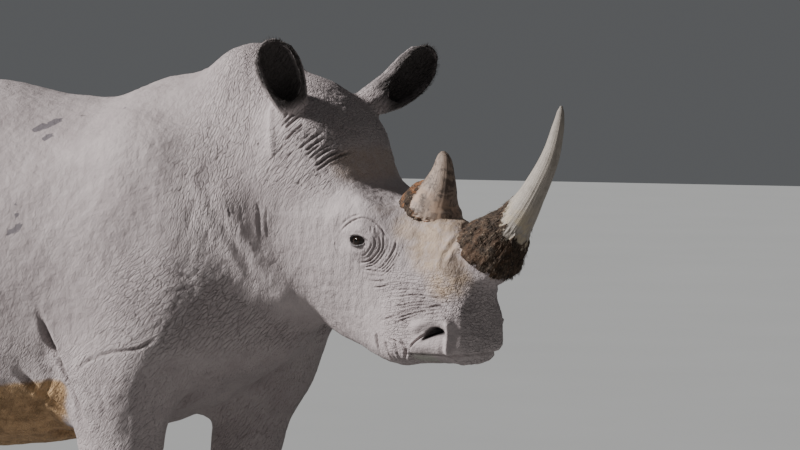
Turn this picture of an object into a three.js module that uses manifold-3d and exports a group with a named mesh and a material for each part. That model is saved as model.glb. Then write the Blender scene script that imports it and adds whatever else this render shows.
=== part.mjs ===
// A life-size white rhinoceros, standing with its head raised and turned a little to its right.
// Millimetres, +Z up, the animal faces +X and its left side is +Y.
// The flesh is one smooth field of rounded masses. It is wrapped in a mesh region by region, finer on
// the head,
// and parted by thin cuts. Horns, ears, eyes, nails and tail are swept or round pieces set into that flesh.
import * as THREE from "three";
import { mergeVertices } from "three/addons/utils/BufferGeometryUtils.js";
import Module from "manifold-3d";

const wasm = await Module();
wasm.setup();

// ---- Driving dimensions ------------------------------------------------------------------------
const WITHERS = 1680; // height of the back over the shoulders, at x = 0 while the model is being built
const GAP = 0.4; // clearance at every cut and socket
const BLEND = 75; // how softly one mass runs into the next

// The poll, and how the head is turned and lowered.
const HEAD = { x: 473, y: -30, z: 1551, yaw: -13, pitch: 48 };
const EYE = { along: 405, above: -60, out: 142, radius: 24 };
const FORE = {
  left: { side: 1, elbow: 100, knee: 24, foot: 10, slim: 0.9 },
  right: { side: -1, elbow: -75, knee: -70, foot: -95, slim: 1 },
};
const HIND = {
  left: { side: 1, knee: -1215, hock: -1565, foot: -1500 },
  right: { side: -1, knee: -1140, hock: -1470, foot: -1375 },
};
const GRID = {
  trunk: [168, 118, 116],
  neck: [84, 84, 84],
  head: [47, 47, 47],
  leg: [66, 66, 100],
}; // mesh spacing of each region along x, y and z

const SKIN = { color: 0x97908d, roughness: 0.85, metalness: 0 };
const HORN = { color: 0x9a8f84, roughness: 0.7, metalness: 0 };
const NAIL = { color: 0x5d554f, roughness: 0.6, metalness: 0 };
const WET = { color: 0x1d1613, roughness: 0.1, metalness: 0 };

// ---- Small vector helpers ----------------------------------------------------------------------
const vec = (x, y, z) => new THREE.Vector3(x, y, z);
const mix = (a, b, t) => a + (b - a) * t;
const clamp = (v, low, high) => Math.min(high, Math.max(low, v));
const radians = THREE.MathUtils.degToRad;

// A frame turned by yaw about Z and lowered by pitch: +x runs along the part, +y to its left, +z is its
// upper side.
function frameAt(x, y, z, yaw, pitch) {
  const turn = new THREE.Euler(0, radians(pitch), radians(yaw), "ZYX");
  return new THREE.Matrix4().makeRotationFromEuler(turn).setPosition(x, y, z);
}

const headFrame = frameAt(HEAD.x, HEAD.y, HEAD.z, HEAD.yaw, HEAD.pitch);
const levelHead = frameAt(HEAD.x, HEAD.y, HEAD.z, HEAD.yaw, 0);
const inHead = (along, left, above) => vec(along, left, above).applyMatrix4(headFrame);
const inLevelHead = (forward, left, up) => vec(forward, left, up).applyMatrix4(levelHead);

// ---- Fields: below zero inside the flesh, roughly a distance in mm -----------------------------
function blend(a, b, soft = BLEND) {
  const h = clamp(0.5 + (0.5 * (b - a)) / soft, 0, 1);
  return mix(b, a, h) - soft * h * (1 - h);
}

const carve = (body, hollow, soft) => -blend(-body, hollow, soft);

// An egg or rounded block: power 2 is an ellipsoid, and higher powers are squarer.
function mass(frame, radii, power = 2) {
  const inverse = frame.clone().invert();
  const size = Math.min(radii.x, radii.y, radii.z);
  const q = vec(0, 0, 0);
  return (p) => {
    q.copy(p).applyMatrix4(inverse).divide(radii);
    const sum = Math.abs(q.x) ** power + Math.abs(q.y) ** power + Math.abs(q.z) ** power;
    return (sum ** (1 / power) - 1) * size;
  };
}

const egg = (x, y, z, rx, ry, rz, pitch = 0, yaw = 0) => mass(frameAt(x, y, z, yaw, pitch), vec(rx, ry, rz));

// A limb from a to b: its section is an ellipse, wide across and deep along the animal, that tapers
// between the ends.
function limb(a, b, wideA, deepA, wideB, deepB) {
  const axis = b.clone().sub(a);
  const length = axis.length();
  axis.normalize();
  const across = vec(0, 1, 0).addScaledVector(axis, -axis.y).normalize();
  const deepAxis = vec(0, 0, 0).crossVectors(across, axis);
  const q = vec(0, 0, 0);
  return (p) => {
    q.copy(p).sub(a);
    const at = q.dot(axis);
    const t = clamp(at / length, 0, 1);
    const wide = mix(wideA, wideB, t);
    const deep = mix(deepA, deepB, t);
    const past = (at - t * length) / Math.min(wide, deep);
    return (Math.hypot(q.dot(across) / wide, q.dot(deepAxis) / deep, past) - 1) * Math.min(wide, deep);
  };
}

// The value of a key's property at a place along the body, by a smooth curve through the keys.
function along(keys, at, name) {
  const last = keys.length - 2;
  let i = 0;
  while (i < last && at > keys[i + 1].at) i++;
  const [k0, k1, k2, k3] = [keys[Math.max(i - 1, 0)], keys[i], keys[i + 1], keys[Math.min(i + 2, last + 1)]];
  const span = k2.at - k1.at;
  const t = clamp((at - k1.at) / span, 0, 1);
  const slopeA = ((k2[name] - k0[name]) / (k2.at - k0.at)) * span;
  const slopeB = ((k3[name] - k1[name]) / (k3.at - k1.at)) * span;
  const t2 = t * t;
  const t3 = t2 * t;
  return (
    (2 * t3 - 3 * t2 + 1) * k1[name] +
    (t3 - 2 * t2 + t) * slopeA +
    (3 * t2 - 2 * t3) * k2[name] +
    (t3 - t2) * slopeB
  );
}

// A long body whose outline seen from the side and half width are keyed along its own x axis.
// upper and lower set how square the section is above and below its widest level.
function hull(frame, keys, ends) {
  const inverse = frame.clone().invert();
  const first = keys[0].at;
  const final = keys[keys.length - 1].at;
  const middle = (first + final) / 2;
  const half = (final - first) / 2;
  const q = vec(0, 0, 0);
  return (p) => {
    q.copy(p).applyMatrix4(inverse);
    const at = clamp(q.x, first, final);
    const names = ["top", "bottom", "wide", "level"];
    const [top, bottom, wide, level] = names.map((name) => along(keys, at, name));
    const raised = q.z > level;
    const power = along(keys, at, raised ? "upper" : "lower");
    const height = raised ? (q.z - level) / (top - level) : (level - q.z) / (level - bottom);
    const end = (Math.abs(q.x - middle) / half) ** ends;
    const sum = (Math.abs(q.y) / wide) ** power + height ** power + end;
    return (sum ** (1 / power) - 1) * Math.min(wide, (top - bottom) / 2);
  };
}

// ---- Flesh -------------------------------------------------------------------------------------
const upright = frameAt(0, 0, 0, 0, 0);

const barrel = hull(
  upright,
  [
    { at: -1850, top: 1330, bottom: 960, wide: 260, level: 1150, upper: 2, lower: 2 },
    { at: -1620, top: 1525, bottom: 830, wide: 345, level: 1150, upper: 2, lower: 2.1 },
    { at: -1350, top: 1612, bottom: 710, wide: 410, level: 1120, upper: 1.95, lower: 2.2 },
    { at: -1050, top: 1636, bottom: 605, wide: 475, level: 1080, upper: 1.9, lower: 2.3 },
    { at: -780, top: 1648, bottom: 560, wide: 500, level: 1060, upper: 1.85, lower: 2.3 },
    { at: -540, top: 1643, bottom: 568, wide: 485, level: 1060, upper: 1.8, lower: 2.3 },
    { at: -390, top: 1606, bottom: 585, wide: 458, level: 1065, upper: 1.8, lower: 2.2 },
    { at: -220, top: 1588, bottom: 615, wide: 415, level: 1075, upper: 1.8, lower: 2.2 },
    { at: -20, top: 1662, bottom: 655, wide: 360, level: 1085, upper: 1.7, lower: 2.1 },
    { at: 170, top: 1590, bottom: 728, wide: 300, level: 1105, upper: 1.8, lower: 2 },
    { at: 360, top: 1420, bottom: 850, wide: 230, level: 1110, upper: 2, lower: 2 },
  ],
  9,
);

function fleshOfNeck() {
  const back = vec(60, 0, 1230);
  const throat = inHead(60, 0, -120);
  const core = limb(back, throat, 285, 400, 190, 235);
  const nape = egg(228, -8, 1584, 150, 142, 184, -8);
  const gullet = limb(vec(250, 0, 1010), inHead(230, 0, -230), 170, 170, 120, 110);
  return (p) => blend(blend(core(p), nape(p), 90), gullet(p), 90);
}

const skull = hull(
  headFrame,
  [
    { at: -95, top: 0, bottom: -200, wide: 130, level: -70, upper: 2.2, lower: 2 },
    { at: 10, top: 28, bottom: -265, wide: 158, level: -70, upper: 2.6, lower: 2.1 },
    { at: 130, top: 42, bottom: -322, wide: 165, level: -70, upper: 2.6, lower: 2.2 },
    { at: 260, top: 16, bottom: -366, wide: 152, level: -80, upper: 2.3, lower: 2.3 },
    { at: 380, top: 64, bottom: -397, wide: 146, level: -90, upper: 2.4, lower: 2.4 },
    { at: 500, top: 138, bottom: -371, wide: 130, level: -80, upper: 2.2, lower: 2.4 },
    { at: 610, top: 150, bottom: -304, wide: 116, level: -60, upper: 2.2, lower: 2.3 },
    { at: 710, top: 92, bottom: -236, wide: 106, level: -50, upper: 2.3, lower: 2.3 },
    { at: 805, top: -14, bottom: -150, wide: 96, level: -50, upper: 2.3, lower: 2.3 },
  ],
  14,
);

// The broad lips lie level, so their block is set in the level head frame: forward, left and up from
// the poll.
function fleshOfMuzzle() {
  const at = (forward, left, up, radii, power, pitch = 0) => {
    const place = inLevelHead(forward, left, up);
    return mass(frameAt(place.x, place.y, place.z, HEAD.yaw, pitch), radii, power);
  };
  const lips = at(433, 0, -599, vec(126, 118, 78), 4.4, -4);
  const nose = at(405, 0, -518, vec(74, 93, 78), 2.2);
  const chin = at(330, 0, -632, vec(122, 85, 52), 2.3, 6);
  return (p) => blend(blend(lips(p), nose(p), 50), chin(p), 40);
}

function fleshOfFace() {
  const pair = (make) => {
    const [left, right] = [make(1), make(-1)];
    return (p) => Math.min(left(p), right(p));
  };
  const inFace = (x, y, z, radii, pitch = 0) => {
    const turned = frameAt(0, 0, 0, 0, pitch).setPosition(x, y, z);
    return mass(headFrame.clone().multiply(turned), radii);
  };
  const poll = inFace(-10, 0, -8, vec(95, 120, 56));
  const brow = pair((side) => inFace(345, side * 116, -24, vec(92, 46, 50), -8));
  const temple = pair((side) => inFace(46, side * 134, -16, vec(66, 46, 48), -8));
  const cheek = pair((side) => inFace(235, side * 108, -205, vec(165, 62, 135)));
  const boss = inFace(620, 0, 94, vec(114, 94, 72), 6);
  return (p) => {
    let face = blend(skull(p), poll(p), 50);
    face = blend(face, brow(p), 45);
    face = blend(face, temple(p), 45);
    face = blend(face, cheek(p), 60);
    return blend(face, boss(p), 45);
  };
}

function fleshOfForeleg({ side, elbow, knee, foot, slim }) {
  const blade = egg(elbow * 0.4 - 40, side * 262, 1190, 215, 95, 330, 8);
  const arm = limb(vec(elbow + 55, side * 280, 1010), vec(elbow - 5, side * 282, 830), 118, 205, 132, 165);
  const forearm = limb(
    vec(elbow, side * 278, 820),
    vec(knee, side * 262, 430),
    128 * slim,
    158 * slim,
    98 * slim,
    104 * slim,
  );
  const wrist = egg(knee + 6, side * 262, 410, 104, 102, 95);
  const shin = limb(vec(knee, side * 262, 400), vec(foot, side * 264, 150), 93, 96, 92, 92);
  const pad = mass(frameAt(foot + 22, side * 266, 62, 0, 0), vec(138, 128, 92), 2.6);
  return (p) => {
    const upper = blend(blade(p), arm(p), 80);
    const lower = blend(blend(forearm(p), wrist(p), 40), blend(shin(p), pad(p), 45), 40);
    return blend(upper, lower, 70);
  };
}

function fleshOfHindleg({ side, knee, hock, foot }) {
  const haunch = egg(-1435, side * 245, 1175, 330, 150, 350, 12);
  const thigh = limb(vec(-1400, side * 262, 1080), vec(knee - 60, side * 285, 790), 150, 290, 118, 190);
  const stifle = egg(knee, side * 288, 800, 110, 92, 130, 20);
  const shank = limb(vec(knee - 70, side * 282, 780), vec(hock + 20, side * 262, 500), 118, 175, 82, 108);
  const hamstring = limb(vec(-1590, side * 235, 1010), vec(hock + 5, side * 260, 560), 105, 150, 64, 78);
  const heel = egg(hock - 20, side * 260, 500, 88, 66, 84, 20);
  const cannon = limb(vec(hock + 10, side * 262, 470), vec(foot - 8, side * 264, 150), 80, 96, 84, 84);
  const pad = mass(frameAt(foot + 18, side * 266, 58, 0, 0), vec(124, 116, 88), 2.6);
  return (p) => {
    const upper = blend(blend(blend(haunch(p), thigh(p), 80), stifle(p), 60), hamstring(p), 80);
    const lower = blend(blend(shank(p), heel(p), 40), blend(cannon(p), pad(p), 45), 40);
    return blend(upper, lower, 60);
  };
}

const face = fleshOfFace();
const muzzle = fleshOfMuzzle();
const neck = fleshOfNeck();
const forelegs = { left: fleshOfForeleg(FORE.left), right: fleshOfForeleg(FORE.right) };
const hindlegs = { left: fleshOfHindleg(HIND.left), right: fleshOfHindleg(HIND.right) };

function flesh(p) {
  let body = barrel(p);
  body = blend(body, neck(p), 110);
  body = blend(body, Math.min(forelegs.left(p), forelegs.right(p)));
  body = blend(body, Math.min(hindlegs.left(p), hindlegs.right(p)));
  const head = blend(face(p), muzzle(p), 55);
  return blend(body, head, 60);
}

// ---- Wrapping a field in a mesh ----------------------------------------------------------------
// Every sheet of surface inside a grid cell gets one vertex, pulled onto the surface, and every crossed
// edge gets one
// quad through the four cells round it.
const CORNERS = [0, 1, 2, 3, 4, 5, 6, 7].map((c) => [c & 1, (c >> 1) & 1, c >> 2]);
const SIDES = [
  [0, 1, 3, 2],
  [4, 5, 7, 6],
  [0, 1, 5, 4],
  [2, 3, 7, 6],
  [0, 2, 6, 4],
  [1, 3, 7, 5],
];
const edgeOf = (a, b) => Math.min(a, b) * 8 + Math.max(a, b);

// Groups a cell's crossed edges into sheets, going round each side of the cell and parting diagonal
// insides.
function sheetsOf(v) {
  const leader = new Map();
  const find = (edge) => (leader.get(edge) === edge ? edge : find(leader.get(edge)));
  const join = (a, b) => leader.set(find(a), find(b));
  for (const side of SIDES) {
    const round = side.map((c, n) => [c, side[(n + 1) % 4]]);
    const crossed = round.filter(([a, b]) => v[a] < 0 !== v[b] < 0).map(([a, b]) => edgeOf(a, b));
    for (const edge of crossed) if (!leader.has(edge)) leader.set(edge, edge);
    if (crossed.length === 2) join(...crossed);
    if (crossed.length === 4)
      side.forEach((c, n) => {
        if (v[c] < 0) join(edgeOf(c, side[(n + 1) % 4]), edgeOf(c, side[(n + 3) % 4]));
      });
  }
  const sheets = new Map();
  for (const edge of leader.keys()) {
    const key = find(edge);
    sheets.set(key, [...(sheets.get(key) ?? []), edge]);
  }
  return [...sheets.values()];
}

function wrap(field, low, high, step) {
  const fine = Math.min(step.x, step.y, step.z);
  const [nx, ny, nz] = ["x", "y", "z"].map((axis) => Math.ceil((high[axis] - low[axis]) / step[axis]) + 1);
  const index = (i, j, k) => i + nx * (j + ny * k);
  const outOf = (axis, p) => Math.max(low[axis] - p[axis], p[axis] - high[axis]) + 1.01 * step[axis];
  const inBox = (p) => Math.max(outOf("x", p), outOf("y", p), outOf("z", p));
  const bounded = (p) => Math.max(field(p), inBox(p));
  const value = new Float64Array(nx * ny * nz);
  const p = vec(0, 0, 0);
  for (let k = 0; k < nz; k++)
    for (let j = 0; j < ny; j++)
      for (let i = 0; i < nx; i++) value[index(i, j, k)] = bounded(p.set(i, j, k).multiply(step).add(low));

  const slope = (q) => {
    const d = fine * 0.02;
    const g = vec(
      bounded(q.clone().setX(q.x + d)) - bounded(q.clone().setX(q.x - d)),
      bounded(q.clone().setY(q.y + d)) - bounded(q.clone().setY(q.y - d)),
      bounded(q.clone().setZ(q.z + d)) - bounded(q.clone().setZ(q.z - d)),
    );
    return g.divideScalar(2 * d);
  };
  const pull = (q) => {
    const start = q.clone();
    for (let n = 0; n < 6; n++) {
      const g = slope(q);
      q.addScaledVector(g, -bounded(q) / Math.max(g.lengthSq(), 0.05));
    }
    const moved = q.clone().sub(start);
    const most = fine * 0.6;
    return moved.length() > most ? start.addScaledVector(moved, most / moved.length()) : q;
  };

  const points = [];
  const vertexAt = new Map();
  for (let k = 0; k < nz - 1; k++)
    for (let j = 0; j < ny - 1; j++)
      for (let i = 0; i < nx - 1; i++) {
        const v = CORNERS.map(([a, b, c]) => value[index(i + a, j + b, k + c)]);
        if (v.every((f) => f < 0) || v.every((f) => f >= 0)) continue;
        for (const sheet of sheetsOf(v)) {
          const centre = vec(0, 0, 0);
          for (const edge of sheet) {
            const [a, b] = [edge >> 3, edge & 7];
            const t = v[a] / (v[a] - v[b]);
            centre.add(vec(...CORNERS[a].map((c, n) => mix(c, CORNERS[b][n], t))));
            vertexAt.set(index(i, j, k) * 64 + edge, points.length / 3);
          }
          centre.divideScalar(sheet.length).add(vec(i, j, k)).multiply(step).add(low);
          points.push(...pull(centre).toArray());
        }
      }

  const faces = [];
  const quad = (a, b, c, d, flip) => {
    if (flip) [b, d] = [d, b];
    const at = (n) => vec(points[3 * n], points[3 * n + 1], points[3 * n + 2]);
    // The shorter diagonal keeps the facets even.
    if (at(a).distanceTo(at(c)) <= at(b).distanceTo(at(d))) faces.push(a, b, c, a, c, d);
    else faces.push(a, b, d, b, c, d);
  };
  // The edge runs one step along an axis, and u and w are the two axes across it.
  const crossings = [
    { along: [1, 0, 0], u: [0, 1, 0], w: [0, 0, 1] },
    { along: [0, 1, 0], u: [0, 0, 1], w: [1, 0, 0] },
    { along: [0, 0, 1], u: [1, 0, 0], w: [0, 1, 0] },
  ];
  const cornerAt = ([a, b, c]) => a + 2 * b + 4 * c;
  for (let k = 1; k < nz - 1; k++)
    for (let j = 1; j < ny - 1; j++)
      for (let i = 1; i < nx - 1; i++)
        for (const { along: run, u, w } of crossings) {
          const here = value[index(i, j, k)] < 0;
          if (here === value[index(i + run[0], j + run[1], k + run[2])] < 0) continue;
          const around = [[0, 0], [1, 0], [1, 1], [0, 1]].map(([a, b]) => {
            const back = [0, 1, 2].map((n) => a * u[n] + b * w[n]);
            const edge = edgeOf(cornerAt(back), cornerAt(back.map((c, n) => c + run[n])));
            return vertexAt.get(index(i - back[0], j - back[1], k - back[2]) * 64 + edge);
          });
          quad(...around, !here);
        }
  const geometry = new THREE.BufferGeometry();
  geometry.setAttribute("position", new THREE.Float32BufferAttribute(points, 3));
  return geometry.setIndex(faces);
}

// ---- Solids ------------------------------------------------------------------------------------
function solid(geometry, matrix) {
  const bare = new THREE.BufferGeometry();
  bare.setAttribute("position", geometry.getAttribute("position").clone());
  if (geometry.index) bare.setIndex(geometry.index);
  if (matrix) bare.applyMatrix4(matrix);
  const merged = mergeVertices(bare, 1e-3);
  return new wasm.Manifold(
    new wasm.Mesh({
      numProp: 3,
      vertProperties: merged.attributes.position.array,
      triVerts: new Uint32Array(merged.index.array),
    }),
  );
}

function meshOf(name, body, material) {
  const made = body.getMesh();
  const geometry = new THREE.BufferGeometry();
  geometry.setAttribute("position", new THREE.BufferAttribute(new Float32Array(made.vertProperties), 3));
  geometry.setIndex(new THREE.BufferAttribute(new Uint32Array(made.triVerts), 1));
  geometry.computeVertexNormals();
  const mesh = new THREE.Mesh(geometry, new THREE.MeshStandardMaterial(material));
  mesh.name = name;
  return mesh;
}

// A closed skin over rings of points, from the first ring to the last, with a point at each end.
function ringsToSolid(rings, start, end) {
  const around = rings[0].length;
  const points = [...rings.flat(), start, end].flatMap((p) => p.toArray());
  const faces = [];
  rings.slice(1).forEach((_, r) => {
    for (let i = 0; i < around; i++) {
      const [a, b] = [r * around + i, r * around + ((i + 1) % around)];
      faces.push(a, b, b + around, a, b + around, a + around);
    }
  });
  const [first, last] = [rings.length * around, rings.length * around + 1];
  const base = (rings.length - 1) * around;
  for (let i = 0; i < around; i++) {
    const next = (i + 1) % around;
    faces.push(first, next, i, last, base + i, base + next);
  }
  const geometry = new THREE.BufferGeometry();
  geometry.setAttribute("position", new THREE.Float32BufferAttribute(points, 3));
  const made = solid(geometry.setIndex(faces));
  if (made.volume() > 0) return made;
  for (let i = 0; i < faces.length; i += 3) [faces[i + 1], faces[i + 2]] = [faces[i + 2], faces[i + 1]];
  return solid(geometry.setIndex(faces));
}

// An elliptical section swept along a curve. across is the section's wide direction, wide and deep are
// functions
// of the share of the way along, and grow adds the same clearance all round and past both ends.
function sweep(curve, across, wide, deep, steps, around, grow = 0) {
  const rings = [];
  for (let s = 0; s <= steps; s++) {
    const t = s / steps;
    const axis = curve.getTangentAt(t);
    const centre = curve.getPointAt(t);
    if (s === 0) centre.addScaledVector(axis, -grow);
    const right = across.clone().addScaledVector(axis, -axis.dot(across)).normalize();
    const deepAxis = vec(0, 0, 0).crossVectors(axis, right);
    const ring = [];
    for (let i = 0; i < around; i++) {
      const angle = (2 * Math.PI * i) / around;
      const point = centre.clone().addScaledVector(right, Math.cos(angle) * (wide(t) + grow));
      ring.push(point.addScaledVector(deepAxis, Math.sin(angle) * (deep(t) + grow)));
    }
    rings.push(ring);
  }
  const root = curve.getPointAt(0).addScaledVector(curve.getTangentAt(0), -grow);
  const tip = curve.getPointAt(1).addScaledVector(curve.getTangentAt(1), 0.6 * Math.min(wide(1), deep(1)) + grow);
  return ringsToSolid(rings, root, tip);
}

// ---- Cuts between the regions ------------------------------------------------------------------
const FAR = 4000;

// Everything on the far side of a plane through a point, where ahead is the plane's normal.
function beyond(point, ahead, shift = 0) {
  const block = new THREE.BoxGeometry(FAR, FAR, FAR).translate(FAR / 2, 0, 0);
  const turn = new THREE.Quaternion().setFromUnitVectors(vec(1, 0, 0), ahead.clone().normalize());
  const place = new THREE.Matrix4().makeRotationFromQuaternion(turn);
  place.setPosition(point.clone().addScaledVector(ahead.clone().normalize(), shift));
  return solid(block, place);
}

// Neck and head lie beyond the plane at the neck's root and clear of the breast, a block up to this corner.
const BREAST = { x: 310, z: 1020 };

function aboveBreast(shift) {
  const block = new THREE.BoxGeometry(FAR, FAR, FAR).translate(-FAR / 2, 0, -FAR / 2);
  const breast = solid(block, new THREE.Matrix4().makeTranslation(BREAST.x + shift, 0, BREAST.z + shift));
  return beyond(neckBase, neckNormal, shift).subtract(breast);
}

// A leg's own block: an arch seen from the side, from under the sole to a round top on the shoulder or
// haunch.
function archOf({ centre, width, top, lean, inner, side }, grow = 0) {
  const half = width / 2 + grow;
  const spring = top - width / 2;
  const shape = new THREE.Shape();
  shape.moveTo(-half - lean, -100);
  shape.lineTo(-half, spring);
  shape.absarc(0, spring, half, Math.PI, 0, true);
  shape.lineTo(half - lean, -100);
  shape.closePath();
  const deep = 700;
  const block = new THREE.ExtrudeGeometry(shape, { depth: deep, bevelEnabled: false, curveSegments: 14 });
  // The shape's plane becomes X and Z, and its depth runs outwards from the inner face.
  block.rotateX(Math.PI / 2);
  const outwards = side > 0 ? inner - grow + deep : -inner + grow;
  return solid(block, new THREE.Matrix4().makeTranslation(centre, outwards, 0));
}

const FORE_CUT = { width: 500, top: 1100, inner: 120, lean: 0 };
const HIND_CUT = { width: 620, top: 1170, inner: 110, lean: 60 };
const neckNormal = vec(0.965, 0, 0.262);
const neckBase = vec(120, 0, 1500);
const headNormal = inHead(0.77, 0, 0.64).sub(inHead(0, 0, 0));
const headBase = inHead(0, 0, -110);
const MOUTH = -652; // the level of the line between the lips, below the poll

// ---- Pieces set into the flesh -----------------------------------------------------------------
const curveOf = (points) => new THREE.CatmullRomCurve3(points, false, "centripetal");
const headLeft = inHead(0, 1, 0).sub(inHead(0, 0, 0));

function horn(line, keys, steps, around, grow) {
  const curve = curveOf(line.map(([forward, above]) => inHead(forward, 0, above)));
  const size = (name) => (t) => along(keys, t, name);
  return sweep(curve, headLeft, size("wide"), size("deep"), steps, around, grow);
}

const frontHorn = (grow) =>
  horn(
    [
      [646, 110],
      [643, 196],
      [640, 290],
      [628, 389],
      [595, 500],
      [551, 578],
      [513, 629],
    ],
    [
      { at: 0, wide: 74, deep: 92 },
      { at: 0.16, wide: 80, deep: 99 },
      { at: 0.33, wide: 50, deep: 60 },
      { at: 0.5, wide: 34, deep: 38 },
      { at: 0.72, wide: 24, deep: 26 },
      { at: 0.89, wide: 16, deep: 18 },
      { at: 1, wide: 5, deep: 5 },
    ],
    11,
    11,
    grow,
  );

const rearHorn = (grow) =>
  horn(
    [
      [446, 86],
      [424, 122],
      [407, 162],
      [376, 208],
      [340, 240],
    ],
    [
      { at: 0, wide: 76, deep: 88 },
      { at: 0.21, wide: 78, deep: 87 },
      { at: 0.42, wide: 51, deep: 56 },
      { at: 0.7, wide: 29, deep: 31 },
      { at: 1, wide: 10, deep: 11 },
    ],
    6,
    11,
    grow,
  );

// An ear is a curved cone, wide above and round at its root, scooped out on the side it listens to.
// Points and directions are forward, left and up in the level head frame; line starts inside the skull.
const EAR = {
  left: { line: [[-14, 92, -36], [20, 130, 26], [70, 216, 76], [111, 335, 180]], open: [0.86, -0.1, 0.1] },
  right: { line: [[-14, -100, -36], [-12, -138, 14], [2, -210, 108], [-2, -272, 211]], open: [0.62, -0.72, 0.05] },
};
const EAR_FORM = [
  { at: 0, wide: 44, deep: 44 },
  { at: 0.22, wide: 43, deep: 43 },
  { at: 0.45, wide: 57, deep: 48 },
  { at: 0.7, wide: 67, deep: 44 },
  { at: 0.9, wide: 56, deep: 30 },
  { at: 1, wide: 26, deep: 14 },
];

function ear({ line, open }, grow) {
  const curve = curveOf(line.map((point) => inLevelHead(...point)));
  const towards = inLevelHead(...open).sub(inLevelHead(0, 0, 0)).normalize();
  const across = vec(0, 0, 0).crossVectors(towards, curve.getTangentAt(0.5)).normalize();
  const size = (name) => (t) => along(EAR_FORM, t, name);
  const whole = sweep(curve, across, size("wide"), size("deep"), 8, 10, grow);
  if (grow) return whole;
  const inside = curveOf(
    [0.36, 0.5, 0.65, 0.8, 0.97].map((t) => curve.getPointAt(t).addScaledVector(towards, 0.5 * size("deep")(t))),
  );
  const share = (name, part) => (t) => part * along(EAR_FORM, mix(0.36, 0.97, t), name) * Math.min(1, 0.45 + 2.4 * t);
  return whole.subtract(sweep(inside, across, share("wide", 0.78), share("deep", 0.92), 5, 10));
}

const TAIL = [[-1680, 1330], [-1790, 1305], [-1866, 1215], [-1888, 1085], [-1876, 950], [-1870, 830], [-1872, 770]];
const TAIL_FORM = [
  { at: 0, wide: 52, deep: 48 },
  { at: 0.2, wide: 46, deep: 42 },
  { at: 0.5, wide: 29, deep: 27 },
  { at: 0.75, wide: 21, deep: 20 },
  { at: 0.9, wide: 30, deep: 20 },
  { at: 1, wide: 12, deep: 9 },
];

function tailOf(grow) {
  const curve = curveOf(TAIL.map(([x, z]) => vec(x, 0, z)));
  const size = (name) => (t) => along(TAIL_FORM, t, name);
  return sweep(curve, vec(0, 1, 0), size("wide"), size("deep"), 11, 8, grow);
}

function eyeball(side, grow) {
  const place = inHead(EYE.along, side * EYE.out, EYE.above);
  const ball = new THREE.IcosahedronGeometry(EYE.radius + grow, 1);
  return solid(ball, new THREE.Matrix4().makeTranslation(place.x, place.y, place.z));
}

// A nail is a rounded block let into the front of the foot, turned to its own bearing round the pad.
function nail({ x, y, reach, wide, tall }, bearing, grow) {
  const block = new THREE.SphereGeometry(1, 7, 4);
  const spots = block.getAttribute("position");
  const radii = vec(26 + grow, wide + grow, tall + grow);
  for (let i = 0; i < spots.count; i++) {
    const v = vec(0, 0, 0).fromBufferAttribute(spots, i);
    const size = (Math.abs(v.x) ** 3 + Math.abs(v.y) ** 3 + Math.abs(v.z) ** 3) ** (1 / 3);
    v.divideScalar(size).multiply(radii);
    spots.setXYZ(i, v.x, v.y, v.z);
  }
  const around = radians(bearing);
  const place = frameAt(x + reach * Math.cos(around), y + reach * Math.sin(around) * 0.94, tall + 5, bearing, -12);
  return solid(block, place);
}

function nailsOf(foot, y, reach, size) {
  return [
    { part: "outer", bearing: 62 * Math.sign(y), wide: 0.72 },
    { part: "front", bearing: 0, wide: 1 },
    { part: "inner", bearing: -62 * Math.sign(y), wide: 0.72 },
  ].map(({ part, bearing, wide }) => ({
    part,
    make: (grow) => nail({ x: foot, y, reach, wide: wide * size, tall: size * 0.8 }, bearing, grow),
  }));
}

// ---- The animal --------------------------------------------------------------------------------
const region = (low, high, step) => solid(wrap(flesh, vec(...low), vec(...high), vec(...step)));
const aboveGround = beyond(vec(0, 0, 0), vec(0, 0, 1));
const parts = [];
const add = (name, body, material) => parts.push(meshOf(name, body, material));
const sides = [
  { name: "left", side: 1 },
  { name: "right", side: -1 },
];

const foreArch = (leg, grow) =>
  archOf({ ...FORE_CUT, centre: mix(leg.elbow, leg.foot, 0.4) - 10, side: leg.side }, grow);
const hindArch = (leg, grow) => archOf({ ...HIND_CUT, centre: -1380, side: leg.side }, grow);

function legParts(kind, name, leg, arch, foot, size) {
  const [near, far] = leg.side > 0 ? [40, 660] : [-660, -40];
  const [back, front] = kind === "fore" ? [-460, 420] : [-1840, -960];
  let body = region([back, near, -200], [front, far, 1340], GRID.leg);
  body = body.intersect(arch(leg, -GAP / 2)).intersect(aboveGround);
  const nails = nailsOf(foot.x, leg.side * 266, foot.reach, size);
  for (const { part, make } of nails) {
    add(`${kind}_nail_${name}_${part}`, make(0), NAIL);
    body = body.subtract(make(GAP));
  }
  add(`${kind}leg_${name}`, body, SKIN);
}

let trunk = region([-2160, -760, 300], [640, 760, 1960], GRID.trunk);
trunk = trunk.subtract(aboveBreast(-GAP / 2));
for (const { name } of sides) {
  trunk = trunk.subtract(foreArch(FORE[name], GAP / 2)).subtract(hindArch(HIND[name], GAP / 2));
}
trunk = trunk.subtract(tailOf(GAP));
add("trunk", trunk, SKIN);
add("tail", tailOf(0), SKIN);

let nape = region([-160, -620, 700], [1000, 620, 1960], GRID.neck);
nape = nape.intersect(aboveBreast(GAP / 2)).subtract(beyond(headBase, headNormal, -GAP / 2));
for (const { name } of sides) nape = nape.subtract(foreArch(FORE[name], GAP / 2));
nape = nape.subtract(ear(EAR.left, GAP)).subtract(ear(EAR.right, GAP));
add("neck", nape, SKIN);

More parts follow.
